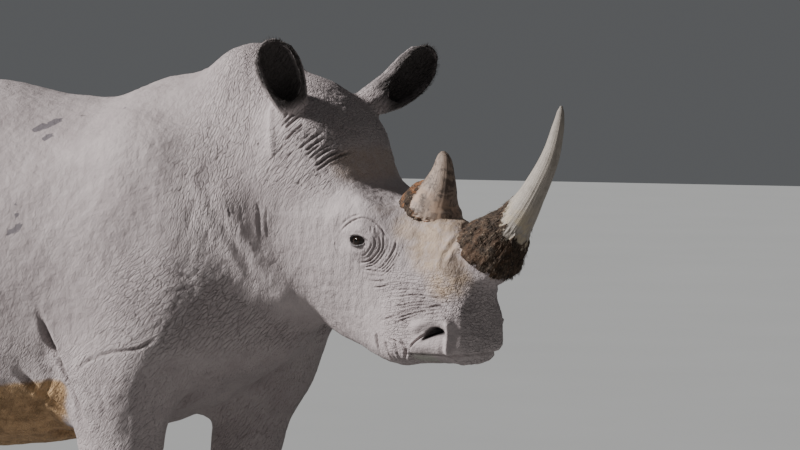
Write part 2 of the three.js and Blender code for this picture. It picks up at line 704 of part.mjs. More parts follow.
let head = region([120, -520, 790], [1180, 330, 1780], GRID.head);
head = head.intersect(aboveBreast(GAP / 2)).intersect(beyond(headBase, headNormal, GAP / 2));
head = head.subtract(frontHorn(GAP)).subtract(rearHorn(GAP));
for (const { name, side } of sides) {
  head = head.subtract(ear(EAR[name], GAP)).subtract(eyeball(side, GAP));
}
const below = beyond(inLevelHead(0, 0, MOUTH), vec(0, 0, -1));
const ahead = beyond(inLevelHead(300, 0, MOUTH), inLevelHead(1, 0, 0).sub(inLevelHead(0, 0, 0)));
const jawBlock = below.intersect(ahead);
const above = beyond(inLevelHead(0, 0, MOUTH + GAP), vec(0, 0, 1));
const behind = beyond(inLevelHead(300 - GAP, 0, MOUTH), inLevelHead(-1, 0, 0).sub(inLevelHead(0, 0, 0)));
add("head", head.intersect(above.add(behind)), SKIN);
add("lower_jaw", head.intersect(jawBlock), SKIN);
add("horn_front", frontHorn(0), HORN);
add("horn_rear", rearHorn(0), HORN);
for (const { name, side } of sides) {
  add(`ear_${name}`, ear(EAR[name], 0), SKIN);
  add(`eye_${name}`, eyeball(side, 0), WET);
  legParts("fore", name, FORE[name], foreArch, { x: FORE[name].foot + 22, reach: 122 }, 50);
  legParts("hind", name, HIND[name], hindArch, { x: HIND[name].foot + 18, reach: 105 }, 46);
}

// The finished animal stands over the middle of its own floor outline.
const animal = new THREE.Group();
animal.name = "white_rhinoceros";
animal.add(...parts);
const box = new THREE.Box3().setFromObject(animal);
const middle = box.getCenter(vec(0, 0, 0));
for (const part of parts) part.geometry.translate(-middle.x, -middle.y, -box.min.z);
export default animal;
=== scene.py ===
import math
import random
import bpy
import numpy as np
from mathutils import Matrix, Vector
from mathutils.bvhtree import BVHTree
from mathutils.geometry import barycentric_transform


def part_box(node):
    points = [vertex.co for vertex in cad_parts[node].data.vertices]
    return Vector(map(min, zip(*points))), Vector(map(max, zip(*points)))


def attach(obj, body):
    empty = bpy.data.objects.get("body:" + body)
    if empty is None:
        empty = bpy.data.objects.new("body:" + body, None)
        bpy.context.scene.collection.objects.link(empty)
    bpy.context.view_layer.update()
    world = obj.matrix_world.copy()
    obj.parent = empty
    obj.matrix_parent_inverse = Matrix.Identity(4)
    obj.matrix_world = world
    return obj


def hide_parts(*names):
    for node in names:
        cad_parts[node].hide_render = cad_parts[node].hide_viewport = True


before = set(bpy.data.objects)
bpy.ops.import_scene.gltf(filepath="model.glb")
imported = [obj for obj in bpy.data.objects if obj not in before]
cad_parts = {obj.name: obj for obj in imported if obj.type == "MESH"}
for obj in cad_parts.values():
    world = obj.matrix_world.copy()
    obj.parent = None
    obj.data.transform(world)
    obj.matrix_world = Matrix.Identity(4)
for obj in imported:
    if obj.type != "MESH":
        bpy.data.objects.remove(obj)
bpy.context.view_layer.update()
random.seed(11)
print("frame loaded")

# The head's own directions: along the face, out to its left, and up from the forehead.
headPose = {"yaw": -13, "pitch": 48, "eyeAlong": 0.405, "eyeAbove": -0.060, "pastWithers": 0.473}
sides = {"left": 1, "right": -1}


def turnedAxes(yaw, pitch):
    y, p = math.radians(yaw), math.radians(pitch)
    along = np.array([math.cos(y) * math.cos(p), math.sin(y) * math.cos(p), -math.sin(p)])
    left = np.array([-math.sin(y), math.cos(y), 0.0])
    return np.array([along, left, np.cross(along, left)])


def middleOf(node):
    low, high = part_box(node)
    return np.array((Vector(low) + Vector(high)) / 2)


headAxes = turnedAxes(headPose["yaw"], headPose["pitch"])
levelAxes = turnedAxes(headPose["yaw"], 0)
eyePlace = {side: middleOf("eye_" + side) for side in sides}
eyeMiddle = (eyePlace["left"] + eyePlace["right"]) / 2
poll = eyeMiddle - headAxes[0] * headPose["eyeAlong"] - headAxes[2] * headPose["eyeAbove"]
bodyStart = poll[0] - headPose["pastWithers"]
eyeRadius = (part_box("eye_left")[1][2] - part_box("eye_left")[0][2]) / 2


def toHead(points):
    return (np.asarray(points) - poll) @ headAxes.T


def fromHead(points):
    return np.asarray(points) @ headAxes + poll


cameraWork = {"azimuth": 25, "elevation": 3, "distance": 12.0, "lens": 192.9, "aim": (0.730, -0.109, 1.250)}


def directionFrom(azimuth, elevation):
    a, e = math.radians(azimuth), math.radians(elevation)
    return Vector((math.sin(a) * math.cos(e), -math.cos(a) * math.cos(e), math.sin(e)))


def addCamera():
    back = directionFrom(cameraWork["azimuth"], cameraWork["elevation"])
    aim = Vector(cameraWork["aim"]) + Vector((bodyStart, 0, 0))
    bpy.ops.object.camera_add(location=aim + back * cameraWork["distance"])
    camera = bpy.context.object
    camera.rotation_euler = (-back).to_track_quat("-Z", "Y").to_euler()
    camera.data.lens = cameraWork["lens"]
    camera.data.sensor_width = 36
    camera.data.clip_end = 200
    bpy.context.scene.camera = camera


addCamera()
print("camera placed")


def selectOnly(obj):
    bpy.ops.object.select_all(action="DESELECT")
    obj.select_set(True)
    bpy.context.view_layer.objects.active = obj


# Takes a few steps on a whole mesh.
def edit(obj, *steps):
    selectOnly(obj)
    bpy.ops.object.mode_set(mode="EDIT")
    bpy.ops.mesh.select_all(action="SELECT")
    for work, settings in steps:
        work(**settings)
    bpy.ops.object.mode_set(mode="OBJECT")


weld = (bpy.ops.mesh.remove_doubles, {"threshold": 0.00002})


def faceOutwards(obj):
    edit(obj, (bpy.ops.mesh.normals_make_consistent, {"inside": False}))
    obj.data.shade_smooth()


def addObject(name, mesh):
    obj = bpy.data.objects.new(name, mesh)
    bpy.context.scene.collection.objects.link(obj)
    return obj


def readAll(items, what, width, kind=float):
    flat = np.empty(len(items) * width, dtype=kind)
    items.foreach_get(what, flat)
    return flat.reshape(-1, width) if width > 1 else flat


def pointsOf(obj):
    return readAll(obj.data.vertices, "co", 3)


def normalsOf(obj):
    return readAll(obj.data.vertices, "normal", 3)


def movePoints(obj, points):
    obj.data.vertices.foreach_set("co", np.ascontiguousarray(points, dtype=float).ravel())
    obj.data.update()


def applyAll(obj):
    selectOnly(obj)
    for modifier in list(obj.modifiers):
        bpy.ops.object.modifier_apply(modifier=modifier.name)


def unit(vector):
    return vector / np.linalg.norm(vector)


# Rises smoothly from 0 at the low value to 1 at the high one.
def ramp(value, low, high):
    t = np.clip((value - low) / (high - low), 0, 1)
    return t * t * (3 - 2 * t)


def bump(distance, width):
    return np.exp(-((distance / width) ** 2))


def weightsOn(obj, name, values):
    group = obj.vertex_groups.new(name=name)
    levels = np.round(np.clip(values, 0, 1) * 100).astype(int)
    for level in range(1, 101):
        picked = np.nonzero(levels == level)[0]
        if len(picked):
            group.add(picked.tolist(), level / 100, "REPLACE")


# A smooth line through a few points, as many points along it.
def drawn(line, count=40):
    line = np.asarray(line, dtype=float)
    if len(line) == 2:
        return line[0] + (line[1] - line[0]) * np.linspace(0, 1, count)[:, None]
    padded = np.vstack([2 * line[0] - line[1], line, 2 * line[-1] - line[-2]])
    out = []
    for t in np.linspace(0, len(line) - 1 - 1e-9, count):
        i = int(t)
        f = t - i
        a, b, c, d = padded[i : i + 4]
        out.append(0.5 * (2 * b + (c - a) * f + (2 * a - 5 * b + 4 * c - d) * f**2 + (3 * b - a - 3 * c + d) * f**3))
    return np.array(out)


# How far points are from a line, and how far along it, 0 to 1.
def fromLine(points, line):
    best = np.full(len(points), 1e9)
    along = np.zeros(len(points))
    lengths = np.linalg.norm(np.diff(line, axis=0), axis=1)
    starts = np.concatenate([[0], np.cumsum(lengths)])
    for i, length in enumerate(lengths):
        if length < 1e-9:
            continue
        step = (line[i + 1] - line[i]) / length
        t = np.clip((points - line[i]) @ step, 0, length)
        gap = np.linalg.norm(points - line[i] - t[:, None] * step, axis=1)
        closer = gap < best
        best = np.where(closer, gap, best)
        along = np.where(closer, (starts[i] + t) / starts[-1], along)
    return best, along


earLines = {
    "left": [(-14, 92, -36), (20, 130, 26), (66, 214, 92), (114, 338, 182)],
    "right": [(-14, -100, -36), (-4, -138, 14), (6, -210, 108), (0, -272, 213)],
}
earLines = {side: drawn(np.array(line) / 1000, 24) @ levelAxes + poll for side, line in earLines.items()}

# Where each region of the hide begins and where it is whole. The face is bounded along a slant under the ears.
regionWork = {
    "faceSlant": (0.77, 0.64), "face": (-0.14, -0.01), "throat": (-0.47, -0.38), "chestTop": (0.85, 0.95),
    "chestFront": (0.52, 0.60), "earAlong": (0.18, 0.42), "earRound": (0.085, 0.105), "legTop": (0.55, 0.95),
    "legFront": (0.45, 0.55), "foot": (0.10, 0.24), "tailFront": (-1.78, -1.68), "tailTop": (1.28, 1.36),
    "besideTail": (0.00, 0.05), "neck": (-0.05, 0.18),
}


def regionsOf(points):
    edge = regionWork
    x, z = points[:, 0] - bodyStart, points[:, 2]
    along, _, above = toHead(points).T
    face = ramp(edge["faceSlant"][0] * along + edge["faceSlant"][1] * above, *edge["face"])
    face = face * ramp(above, *edge["throat"])
    face = face * np.maximum(ramp(z, *edge["chestTop"]), ramp(x, *edge["chestFront"]))
    ear = np.zeros(len(points))
    for line in earLines.values():
        gap, t = fromLine(points, line)
        ear = np.maximum(ear, ramp(t, *edge["earAlong"]) * (1 - ramp(gap, *edge["earRound"])))
    leg = (1 - ramp(z, *edge["legTop"])) * (1 - ramp(x, *edge["legFront"]))
    foot = 1 - ramp(z, *edge["foot"])
    tailLow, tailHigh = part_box("tail")
    beside = np.maximum(tailLow[1] - points[:, 1], points[:, 1] - tailHigh[1])
    tail = (1 - ramp(x, *edge["tailFront"])) * (1 - ramp(z, *edge["tailTop"]))
    tail *= 1 - ramp(beside, *edge["besideTail"])
    neck = ramp(x, *edge["neck"]) * (1 - face) * (1 - leg)
    return {"face": face, "ear": ear, "leg": leg * (1 - face), "foot": foot, "tail": tail, "neck": neck}


skinWork = {
    "voxel": 0.008,
    "flesh": ["trunk", "neck", "head", "lower_jaw", "tail", "ear_left", "ear_right"]
    + [leg + "leg_" + side for leg in ("fore", "hind") for side in sides],
    "settle": {"body": 0.058, "neck": 0.050, "leg": 0.034, "foot": 0.012, "face": 0.020, "tail": 0.008, "ear": 0.004},
    "pull": 0.9,
    "stubs": {"horn_front": (0.650, 0.172, -6), "horn_rear": (0.424, 0.105, -30)},
    "triangles": 196000,
}
nailNodes = [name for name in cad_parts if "_nail_" in name]


def copyOf(node):
    twin = addObject(node + "Copy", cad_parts[node].data.copy())
    twin.data.materials.clear()
    return twin


# The bottom of a horn, cut off above the skin, so that the skin closes under it.
def stubOf(node):
    along, above, tilt = skinWork["stubs"][node]
    t = math.radians(tilt)
    twin = copyOf(node)
    cut = {"plane_co": fromHead((along, 0, above)), "plane_no": headAxes[0] * math.sin(t) + headAxes[2] * math.cos(t)}
    edit(twin, weld, (bpy.ops.mesh.bisect, {**cut, "use_fill": True, "clear_outer": True}))
    return twin


def buildSkin():
    pieces = [copyOf(name) for name in skinWork["flesh"] + nailNodes + ["eye_left", "eye_right"]]
    pieces += [stubOf(node) for node in skinWork["stubs"]]
    bpy.ops.object.select_all(action="DESELECT")
    for piece in pieces:
        piece.select_set(True)
    bpy.context.view_layer.objects.active = pieces[0]
    bpy.ops.object.join()
    skin = bpy.context.view_layer.objects.active
    skin.name = skin.data.name = "skin"
    edit(skin, weld)
    skin.data.remesh_voxel_size = skinWork["voxel"]
    skin.data.remesh_voxel_adaptivity = 0
    bpy.ops.object.voxel_remesh()
    return skin


# Takes the facets off. Settling twice and stepping back keeps the form from shrinking.
def settle(skin):
    points = pointsOf(skin)
    regions = regionsOf(points)
    widest = skinWork["settle"]["body"]
    reach = np.full(len(points), widest)
    for name in ("neck", "leg", "foot", "face", "tail", "ear"):
        reach += (skinWork["settle"][name] - reach) * regions[name]
    weightsOn(skin, "settle", (reach / widest) ** 2)
    stages = []
    for _ in range(2):
        modifier = skin.modifiers.new("Settle", "SMOOTH")
        modifier.factor = skinWork["pull"]
        modifier.iterations = int(2 * widest**2 / (skinWork["pull"] * skinWork["voxel"] ** 2))
        modifier.vertex_group = "settle"
        applyAll(skin)
        stages.append(pointsOf(skin))
    movePoints(skin, 2 * stages[0] - stages[1])
    skin.vertex_groups.clear()


skin = buildSkin()
print("skin remeshed", len(skin.data.vertices))
settle(skin)
print("skin settled")


# Finer faces where the fine shapes are.
def subdivide(obj, wanted):
    edit(obj, (bpy.ops.mesh.select_all, {"action": "DESELECT"}))
    corners = readAll(obj.data.loops, "vertex_index", 1, int)
    starts = readAll(obj.data.polygons, "loop_start", 1, int)
    obj.data.polygons.foreach_set("select", wanted[corners[starts]])
    bpy.ops.object.mode_set(mode="EDIT")
    bpy.ops.mesh.subdivide(number_cuts=1)
    bpy.ops.object.mode_set(mode="OBJECT")


# Forward and up along the level head, for shapes laid on both sides of the face and neck.
def sideOn(points):
    q = (points - poll) @ levelAxes.T
    return q[:, [0, 2]], q[:, 1]


# Forward of the withers and up, for shapes laid on both flanks.
def flankOn(points):
    return np.stack([points[:, 0] - bodyStart, points[:, 2]], 1), points[:, 1]


eyeSpot = ((eyeMiddle - poll) @ levelAxes.T)[[0, 2]]


def fromEye(flat):
    return np.hypot(*(flat - eyeSpot).T)


# How much each place faces out to its own side of the head.
def facingOut(normals, lateral):
    return ramp((normals @ levelAxes[1]) * np.sign(lateral), 0.05, 0.4)


# Folds in rows, in millimetres: how many there are, how deep they are pressed, how wide, how far their lips rise and
# how uneven they are as a share, and then the first and the last line of the row, forward and up.
faceRows = {
    "eyeFront": (13, 2.7, 1.9, 0.8, 0.5, [(266, -318), (272, -346), (258, -369), (236, -384), (200, -390)],
        [(366, -322), (360, -362), (336, -404), (300, -436), (236, -462)]),
    "lidFront": (4, 1.8, 1.9, 0.5, 0.3, [(258, -296), (266, -326)],
        [(292, -292), (304, -338)]),
    "eyeBelow": (5, 2.4, 2.2, 0.8, 0.6, [(214, -404), (262, -412), (300, -420)],
        [(230, -474), (290, -470), (336, -452)]),
    "eyeBehind": (4, 1, 2.2, 0.4, 0.6, [(176, -330), (180, -362), (200, -388)],
        [(146, -322), (150, -376), (180, -418)]),
    "nose": (13, 4.8, 2.4, 1.4, 0.5, [(300, -462), (360, -456), (420, -458), (500, -474)],
        [(256, -590), (330, -568), (390, -548), (430, -538), (500, -528)]),
    "noseFront": (5, 4.4, 2.6, 1.6, 0.4, [(440, -462), (480, -470), (520, -500)],
        [(430, -526), (480, -516), (520, -530)]),
    "corner": (5, 4.4, 4, 1.2, 0.7, [(262, -586), (256, -636), (272, -690)],
        [(352, -604), (368, -634), (352, -694)]),
    "ear": (15, 6.2, 3.1, 1.4, 0.6, [(-45, -35), (-12, -4), (16, 22)],
        [(80, -160), (120, -118), (160, -76)]),
    "earBelow": (8, 2.2, 2.8, 0.8, 0.7, [(-52, -130), (-20, -90), (20, -60)],
        [(30, -210), (70, -170), (104, -136)]),
    "neck": (11, 1.5, 2.7, 0.7, 0.7, [(-150, -170), (-136, -270), (-118, -380)],
        [(-46, -220), (-52, -320), (-34, -430)]),
}

# Single folds in the same way: how deep, how wide, how far their lips rise, and the line.
faceFolds = {
    "lidArch": (3, 2.1, 0.8, [(150, -336), (176, -312), (210, -288), (250, -276), (284, -292), (310, -328),
        (322, -352)]),
    "lidArchAbove": (2, 2.4, 0.6, [(168, -304), (206, -276), (250, -264)]),
    "eyeDeep": (3.4, 2.4, 1, [(297, -350), (284, -370), (266, -387), (244, -399), (214, -404)]),
    "eyeDeepFront": (3.4, 2.2, 1, [(336, -336), (330, -366), (312, -392)]),
    "hoodTop": (4, 3.2, 1.4, [(430, -546), (478, -532), (512, -534)]),
    "nostrilTail": (6, 3, 1.6, [(452, -588), (426, -602), (402, -620), (384, -640)]),
    "cornerDeep": (7, 4.4, 2.6, [(352, -604), (358, -622), (369, -634), (364, -660), (352, -690)]),
    "cornerSide": (4, 2.6, 1.4, [(300, -612), (334, -618), (366, -634)]),
    "hornRoot": (2.8, 7, 2.6, [(514, -300), (500, -340), (486, -380), (478, -420)]),
    "neckDeep": (2.8, 3, 1.2, [(-84, -225), (-76, -270), (-74, -320), (-66, -350)]),
    "shoulder": (3, 13, 3.6, [(-235, -110), (-205, -185), (-170, -270), (-125, -360), (-88, -473)]),
}


def inMetres(lines):
    return {name: (*[size / 1000 for size in sizes], np.array(line) / 1000) for name, (*sizes, line) in lines.items()}


# Fills each row in with folds between its first and last line, each starting and ending at its own place.
def rowFolds(rows):
    folds = {}
    for name, (count, deep, wide, lip, uneven, *ends) in rows.items():
        first, last = (drawn(np.array(line) / 1000, 21) for line in ends)
        for i in range(count):
            share = (i + random.uniform(-0.25, 0.25)) / (count - 1)
            start, end = random.randint(0, 5), random.randint(15, 20)
            line = (first * (1 - share) + last * share)[start : end + 1 : 3]
            strength = 1 + uneven * random.uniform(-1, 1)
            folds[f"{name}{i}"] = (deep / 1000 * strength, wide / 1000, lip / 1000 * strength, line)
    return folds


faceFolds = {**inMetres(faceFolds), **rowFolds(faceRows)}

# Swells: how high, how wide, and the line.
faceSwells = {
    "upperLid": (6, 20, [(196, -318), (232, -306), (266, -324)]),
    "browRise": (6, 24, [(150, -280), (220, -244), (310, -264)]),
    "earTendon": (12, 13, [(-68, 18), (-54, -40), (-42, -95)]),
    "lowerLid": (10, 22, [(206, -368), (232, -370), (256, -358)]),
    "nostrilHood": (11.5, 16, [(410, -574), (446, -558), (482, -550), (504, -556)]),
    "nostrilFront": (12, 8, [(512, -566), (511, -600), (507, -640)]),
    "lipSwell": (10, 18, [(404, -630), (445, -622), (480, -628)]),
    "neckFill": (24, 60, [(-160, -240), (-110, -370), (-50, -490)]),
    "cornerSwell": (6, 12, [(366, -664), (362, -690)]),
}
nostril = {"place": (0.466, -0.590), "long": 0.036, "high": 0.0118, "tilt": 20, "deep": 0.032, "arch": 9}
# The chin is drawn up behind the lips, and the front of the lower lip hangs.
chin = {"places": (0.24, 0.29, 0.33, 0.37, 0.43, 0.475, 0.50), "rises": (0, 0.003, 0.0145, 0.0168, 0.015, 0.0045, 0),
        "from": -0.700, "to": -0.645, "lipAt": 0.522, "lipWide": 0.030, "lipDrop": 0.018, "lipFrom": -0.675}
mouthLine = {"up": -0.652, "back": 0.366, "deep": 0.010, "wide": 0.0036, "under": 0.006}

# Folds of the flanks and legs, forward of the withers and up.
flankFolds = {
    "elbowCleft": (17, 8.5, 3, [(-258, 1020), (-240, 940), (-214, 876), (-184, 810), (-152, 740), (-130, 660)]),
    "elbowHollow": (14, 30, 0, [(-262, 930), (-240, 850), (-205, 770), (-170, 700)]),
    "legTop": (5.2, 5, 1.4, [(-158, 806), (-104, 858), (-24, 888), (50, 900), (108, 940)]),
    "legTopAbove": (1.6, 5, 0.6, [(-120, 905), (-40, 945), (50, 950)]),
    "legSlantA": (2.6, 5.5, 0.8, [(-125, 840), (-90, 760), (-80, 690)]),
    "legSlantB": (2.2, 5.5, 0.6, [(-70, 830), (-55, 750), (-60, 670)]),
    "bellyCrossA": (10, 10, 5, [(-350, 830), (-285, 755), (-220, 690)]),
    "bellyCrossB": (7, 9, 3.6, [(-230, 810), (-290, 745), (-350, 685)]),
    "behindShoulder": (10, 34, 3, [(-440, 1420), (-475, 1250), (-470, 1060), (-420, 900)]),
    "ribA": (4, 26, 0, [(-640, 1300), (-665, 1120), (-650, 960)]),
    "ribB": (4, 26, 0, [(-760, 1300), (-785, 1120), (-770, 960)]),
    "ribC": (4, 26, 0, [(-880, 1300), (-905, 1140), (-890, 980)]),
    "flank": (14, 24, 5, [(-1120, 1260), (-1130, 1060), (-1075, 880), (-1060, 740)]),
    "thighA": (6, 18, 2, [(-1230, 900), (-1300, 800), (-1340, 680)]),
    "thighB": (5, 18, 1.6, [(-1420, 1060), (-1560, 940), (-1640, 820)]),
    "thighC": (4.6, 17, 1.6, [(-1400, 940), (-1520, 830), (-1570, 720)]),
}


def hashed(cell, seed, prime):
    mixed = cell[:, 0] * 73856093 ^ cell[:, 1] * 19349663 ^ cell[:, 2] * 83492791 ^ seed * 2654435
    return ((mixed * prime) >> 7) % 1021 / 1021


# Random cells in space: how far each point is from the nearest and the second nearest cell centre.
def cells(points, seed):
    base = np.floor(points).astype(np.int64)
    first = np.full(len(points), 9.0)
    second = np.full(len(points), 9.0)
    for step in np.ndindex(3, 3, 3):
        cell = base + np.array(step) - 1
        spot = np.stack([hashed(cell, seed, prime) for prime in (40503, 30011, 52711)], 1)
        gap = np.linalg.norm(points - cell - 0.1 - 0.8 * spot, axis=1)
        second = np.minimum(second, np.maximum(gap, first))
        first = np.minimum(first, gap)
    return first, second


# Smooth random heights in space, 0 to 1.
def waves(points, seed):
    base = np.floor(points).astype(np.int64)
    part = points - base
    part = part * part * (3 - 2 * part)
    total = np.zeros(len(points))
    for step in np.ndindex(2, 2, 2):
        share = np.prod(np.where(np.array(step), part, 1 - part), axis=1)
        total += share * hashed(base + np.array(step), seed, 40503)
    return total


# Presses one set of lines into both sides of the body, from a little way out from the middle.
def pressFolds(points, normals, folds, project, inner):
    flat, lateral = project(points)
    sideways = normals @ (levelAxes[1] if project is sideOn else np.array([0, 1, 0]))
    shown = ramp(sideways * np.sign(lateral), 0.05, 0.45) * ramp(np.abs(lateral), inner, inner + 0.03)
    broken = 0.55 + 0.9 * waves(points / 0.028, 71)
    shift = np.zeros(len(points))
    for deep, wide, lip, line in folds.values():
        line = drawn(line, 28)
        low, high = line.min(0) - 4 * wide, line.max(0) + 4 * wide
        near = np.nonzero(((flat > low) & (flat < high)).all(1) & (shown > 0))[0]
        if not len(near):
            continue
        gap, t = fromLine(flat[near], line)
        ends = ramp(t, 0, 0.25) * (1 - ramp(t, 0.75, 1))
        ends *= shown[near] * broken[near]
        shift[near] += lip * bump(gap - 2.1 * wide, wide) * ends - deep * (bump(gap, wide) * ends)
    return shift


def raiseSwells(points, normals, swells):
    flat, lateral = sideOn(points)
    shown = facingOut(normals, lateral)
    shift = np.zeros(len(points))
    for rise, wide, line in swells.values():
        shift += rise * bump(fromLine(flat, drawn(line, 20))[0], wide) * shown
    return shift


def nostrilShare(flat, grow=1.0):
    t = math.radians(nostril["tilt"])
    x, y = flat[:, 0] - nostril["place"][0], flat[:, 1] - nostril["place"][1]
    a = (x * math.cos(t) + y * math.sin(t)) / (nostril["long"] * grow)
    b = (y * math.cos(t) - x * math.sin(t) + nostril["arch"] * x * x - 0.004) / (nostril["high"] * grow)
    return np.sqrt(a * a + b * b)


# The same point field, turned so that its third axis leans forward by an angle, and counted in cells of a size in
# millimetres.
def grain(points, lean, size):
    a = math.radians(lean)
    turn = np.array([[math.cos(a), 0, -math.sin(a)], [0, 1, 0], [math.sin(a), 0, math.cos(a)]])
    return (points @ turn.T) / (np.array(size) / 1000)


# Where the fine wrinkles of each kind begin and where they are whole, and the edges of the smooth lip.
grainWork = {
    "muzzleFront": (0.24, 0.34), "muzzleTop": (-0.46, -0.38), "templeFront": (0.10, 0.20),
    "templeBottom": (-0.26, -0.16), "chestBack": (-0.16, 0.06), "chestTop": (1.10, 1.24),
    "chestBottom": (0.80, 0.92), "neckBack": (0.02, 0.22), "legTop": (0.86, 0.98), "lipBack": (0.376, 0.400),
    "lipBottom": (-0.670, -0.655), "lipTop": (-0.560, -0.545), "lipFront": (0.53, 0.56),
}


# Which way the fine wrinkles run in each place, as shares that add up to one or less.
def grainShares(points):
    regions, edge = regionsOf(points), grainWork
    x, z = points[:, 0] - bodyStart, points[:, 2]
    forward, up = sideOn(points)[0].T
    face = regions["face"]
    muzzle = face * ramp(forward, *edge["muzzleFront"]) * (1 - ramp(up, *edge["muzzleTop"]))
    temple = face * (1 - ramp(forward, *edge["templeFront"])) * ramp(up, *edge["templeBottom"])
    cheek = face * (1 - muzzle) * (1 - temple)
    chest = ramp(x, *edge["chestBack"]) * (1 - ramp(z, *edge["chestTop"]))
    chest = chest * ramp(z, *edge["chestBottom"]) * (1 - face)
    neck = regions["neck"] * (1 - chest) * ramp(x, *edge["neckBack"])
    leg = (1 - ramp(z, *edge["legTop"])) * (1 - chest) * (1 - face)
    return {"level": muzzle, "slant": np.clip(temple + 0.6 * leg, 0, 1), "steep": np.clip(neck + 0.5 * cheek, 0, 1),
            "cobble": np.clip(chest + 0.35 * leg, 0, 1), "leg": leg, "cheek": cheek, "chest": chest}


# The smooth lip between the nostril, the mouth and its corner, with the hood above the nostril.
def lipShare(flat):
    (forward, up), edge = flat.T, grainWork
    lip = ramp(forward, *edge["lipBack"]) * ramp(up, *edge["lipBottom"]) * (1 - ramp(up, *edge["lipTop"]))
    return lip * (1 - ramp(forward, *edge["lipFront"]))


eyeWork = {"lidThick": 0.0035, "centre": (0.001, 0.001), "halfLong": 0.0245, "above": 0.0145, "below": 0.0125,
           "reach": 0.055, "rim": 0.0022}


# Draws the skin over the eyeball, opens it between the lids and rolls their edges.
def openEye(points):
    for side, sign in sides.items():
        q = (points - poll) @ levelAxes.T
        centre = (eyePlace[side] - poll) @ levelAxes.T
        f, u = q[:, 0] - centre[0], q[:, 2] - centre[2]
        out = (q[:, 1] - centre[1]) * sign
        near = (np.hypot(f, u) < eyeWork["reach"]) & (out > -0.03)
        f, u, out = f[near], u[near], out[near]
        flatR = np.hypot(f, u)
        lidR = eyeRadius + eyeWork["lidThick"]
        dome = np.sqrt(np.maximum(lidR**2 - flatR**2, 0))
        holds = 1 - ramp(flatR, 0.70 * lidR, 1.45 * lidR)
        shape = np.maximum(out, dome)
        out = out + (shape - out) * holds + (dome - out) * 0.5 * (1 - ramp(flatR, 0.55 * lidR, 0.85 * lidR))
        across = np.clip(np.abs(f - eyeWork["centre"][0]) / eyeWork["halfLong"], 0, 1)
        arch = np.sqrt(1 - across**2)
        top = eyeWork["centre"][1] + eyeWork["above"] * arch**0.9
        bottom = eyeWork["centre"][1] - eyeWork["below"] * arch**1.1
        inside = np.where(across < 1, np.minimum(top - u, u - bottom), -0.01)
        behind = np.sqrt(np.maximum((eyeRadius - 0.004) ** 2 - flatR**2, 0)) - 0.002
        rim = bump(inside + 0.0032, 0.0026) * eyeWork["rim"]
        out = out + rim + (behind - out) * ramp(inside, -0.0006, 0.0030)
        q[near, 1] = centre[1] + sign * out
        points = q @ levelAxes + poll
    return points


def sculpt(skin):
    points, normals = pointsOf(skin), normalsOf(skin)
    flat, lateral = sideOn(points)
    forward, up = flat.T
    face = regionsOf(points)["face"]
    out = facingOut(normals, lateral)
    points = points + normals * raiseSwells(points, normals, inMetres(faceSwells))[:, None]
    shift = pressFolds(points, normals, faceFolds, sideOn, 0.045)
    shift += pressFolds(points, normals, inMetres(flankFolds), flankOn, 0.10) * (1 - face)
    back, mouth = mouthLine["back"], mouthLine["up"]
    lips = bump(up - mouth, mouthLine["wide"]) * ramp(forward, back, back + 0.02)
    below = ramp(mouth - up, 0, 0.01) * (1 - ramp(mouth - up, 0.02, 0.05))
    shift -= (mouthLine["deep"] * lips + mouthLine["under"] * below) * (ramp(forward, back, back + 0.03) * face)
    points = points + normals * shift[:, None]
    raised = np.interp(forward, chin["places"], chin["rises"]) * (face * (1 - ramp(up, chin["from"], chin["to"])))
    underLip = face * (1 - ramp(up, chin["lipFrom"], chin["to"]))
    hung = chin["lipDrop"] * bump(forward - chin["lipAt"], chin["lipWide"]) * underLip
    points = points + (raised - hung)[:, None] * levelAxes[2]
    sunk = (1 - ramp(nostrilShare(flat), 0.45, 1.15)) * out * face * nostril["deep"]
    points = points - (np.sign(lateral) * sunk)[:, None] * levelAxes[1] - (0.35 * sunk)[:, None] * levelAxes[0]
    movePoints(skin, openEye(points))


# How calm the ears and nostrils, the eyes and the lips stay, and how high the soft unevenness is.
wrinkleWork = {"calm": 0.85, "eyeCalm": 0.034, "lipCalm": 0.9, "softBody": 0.0036, "softFace": 0.0012}


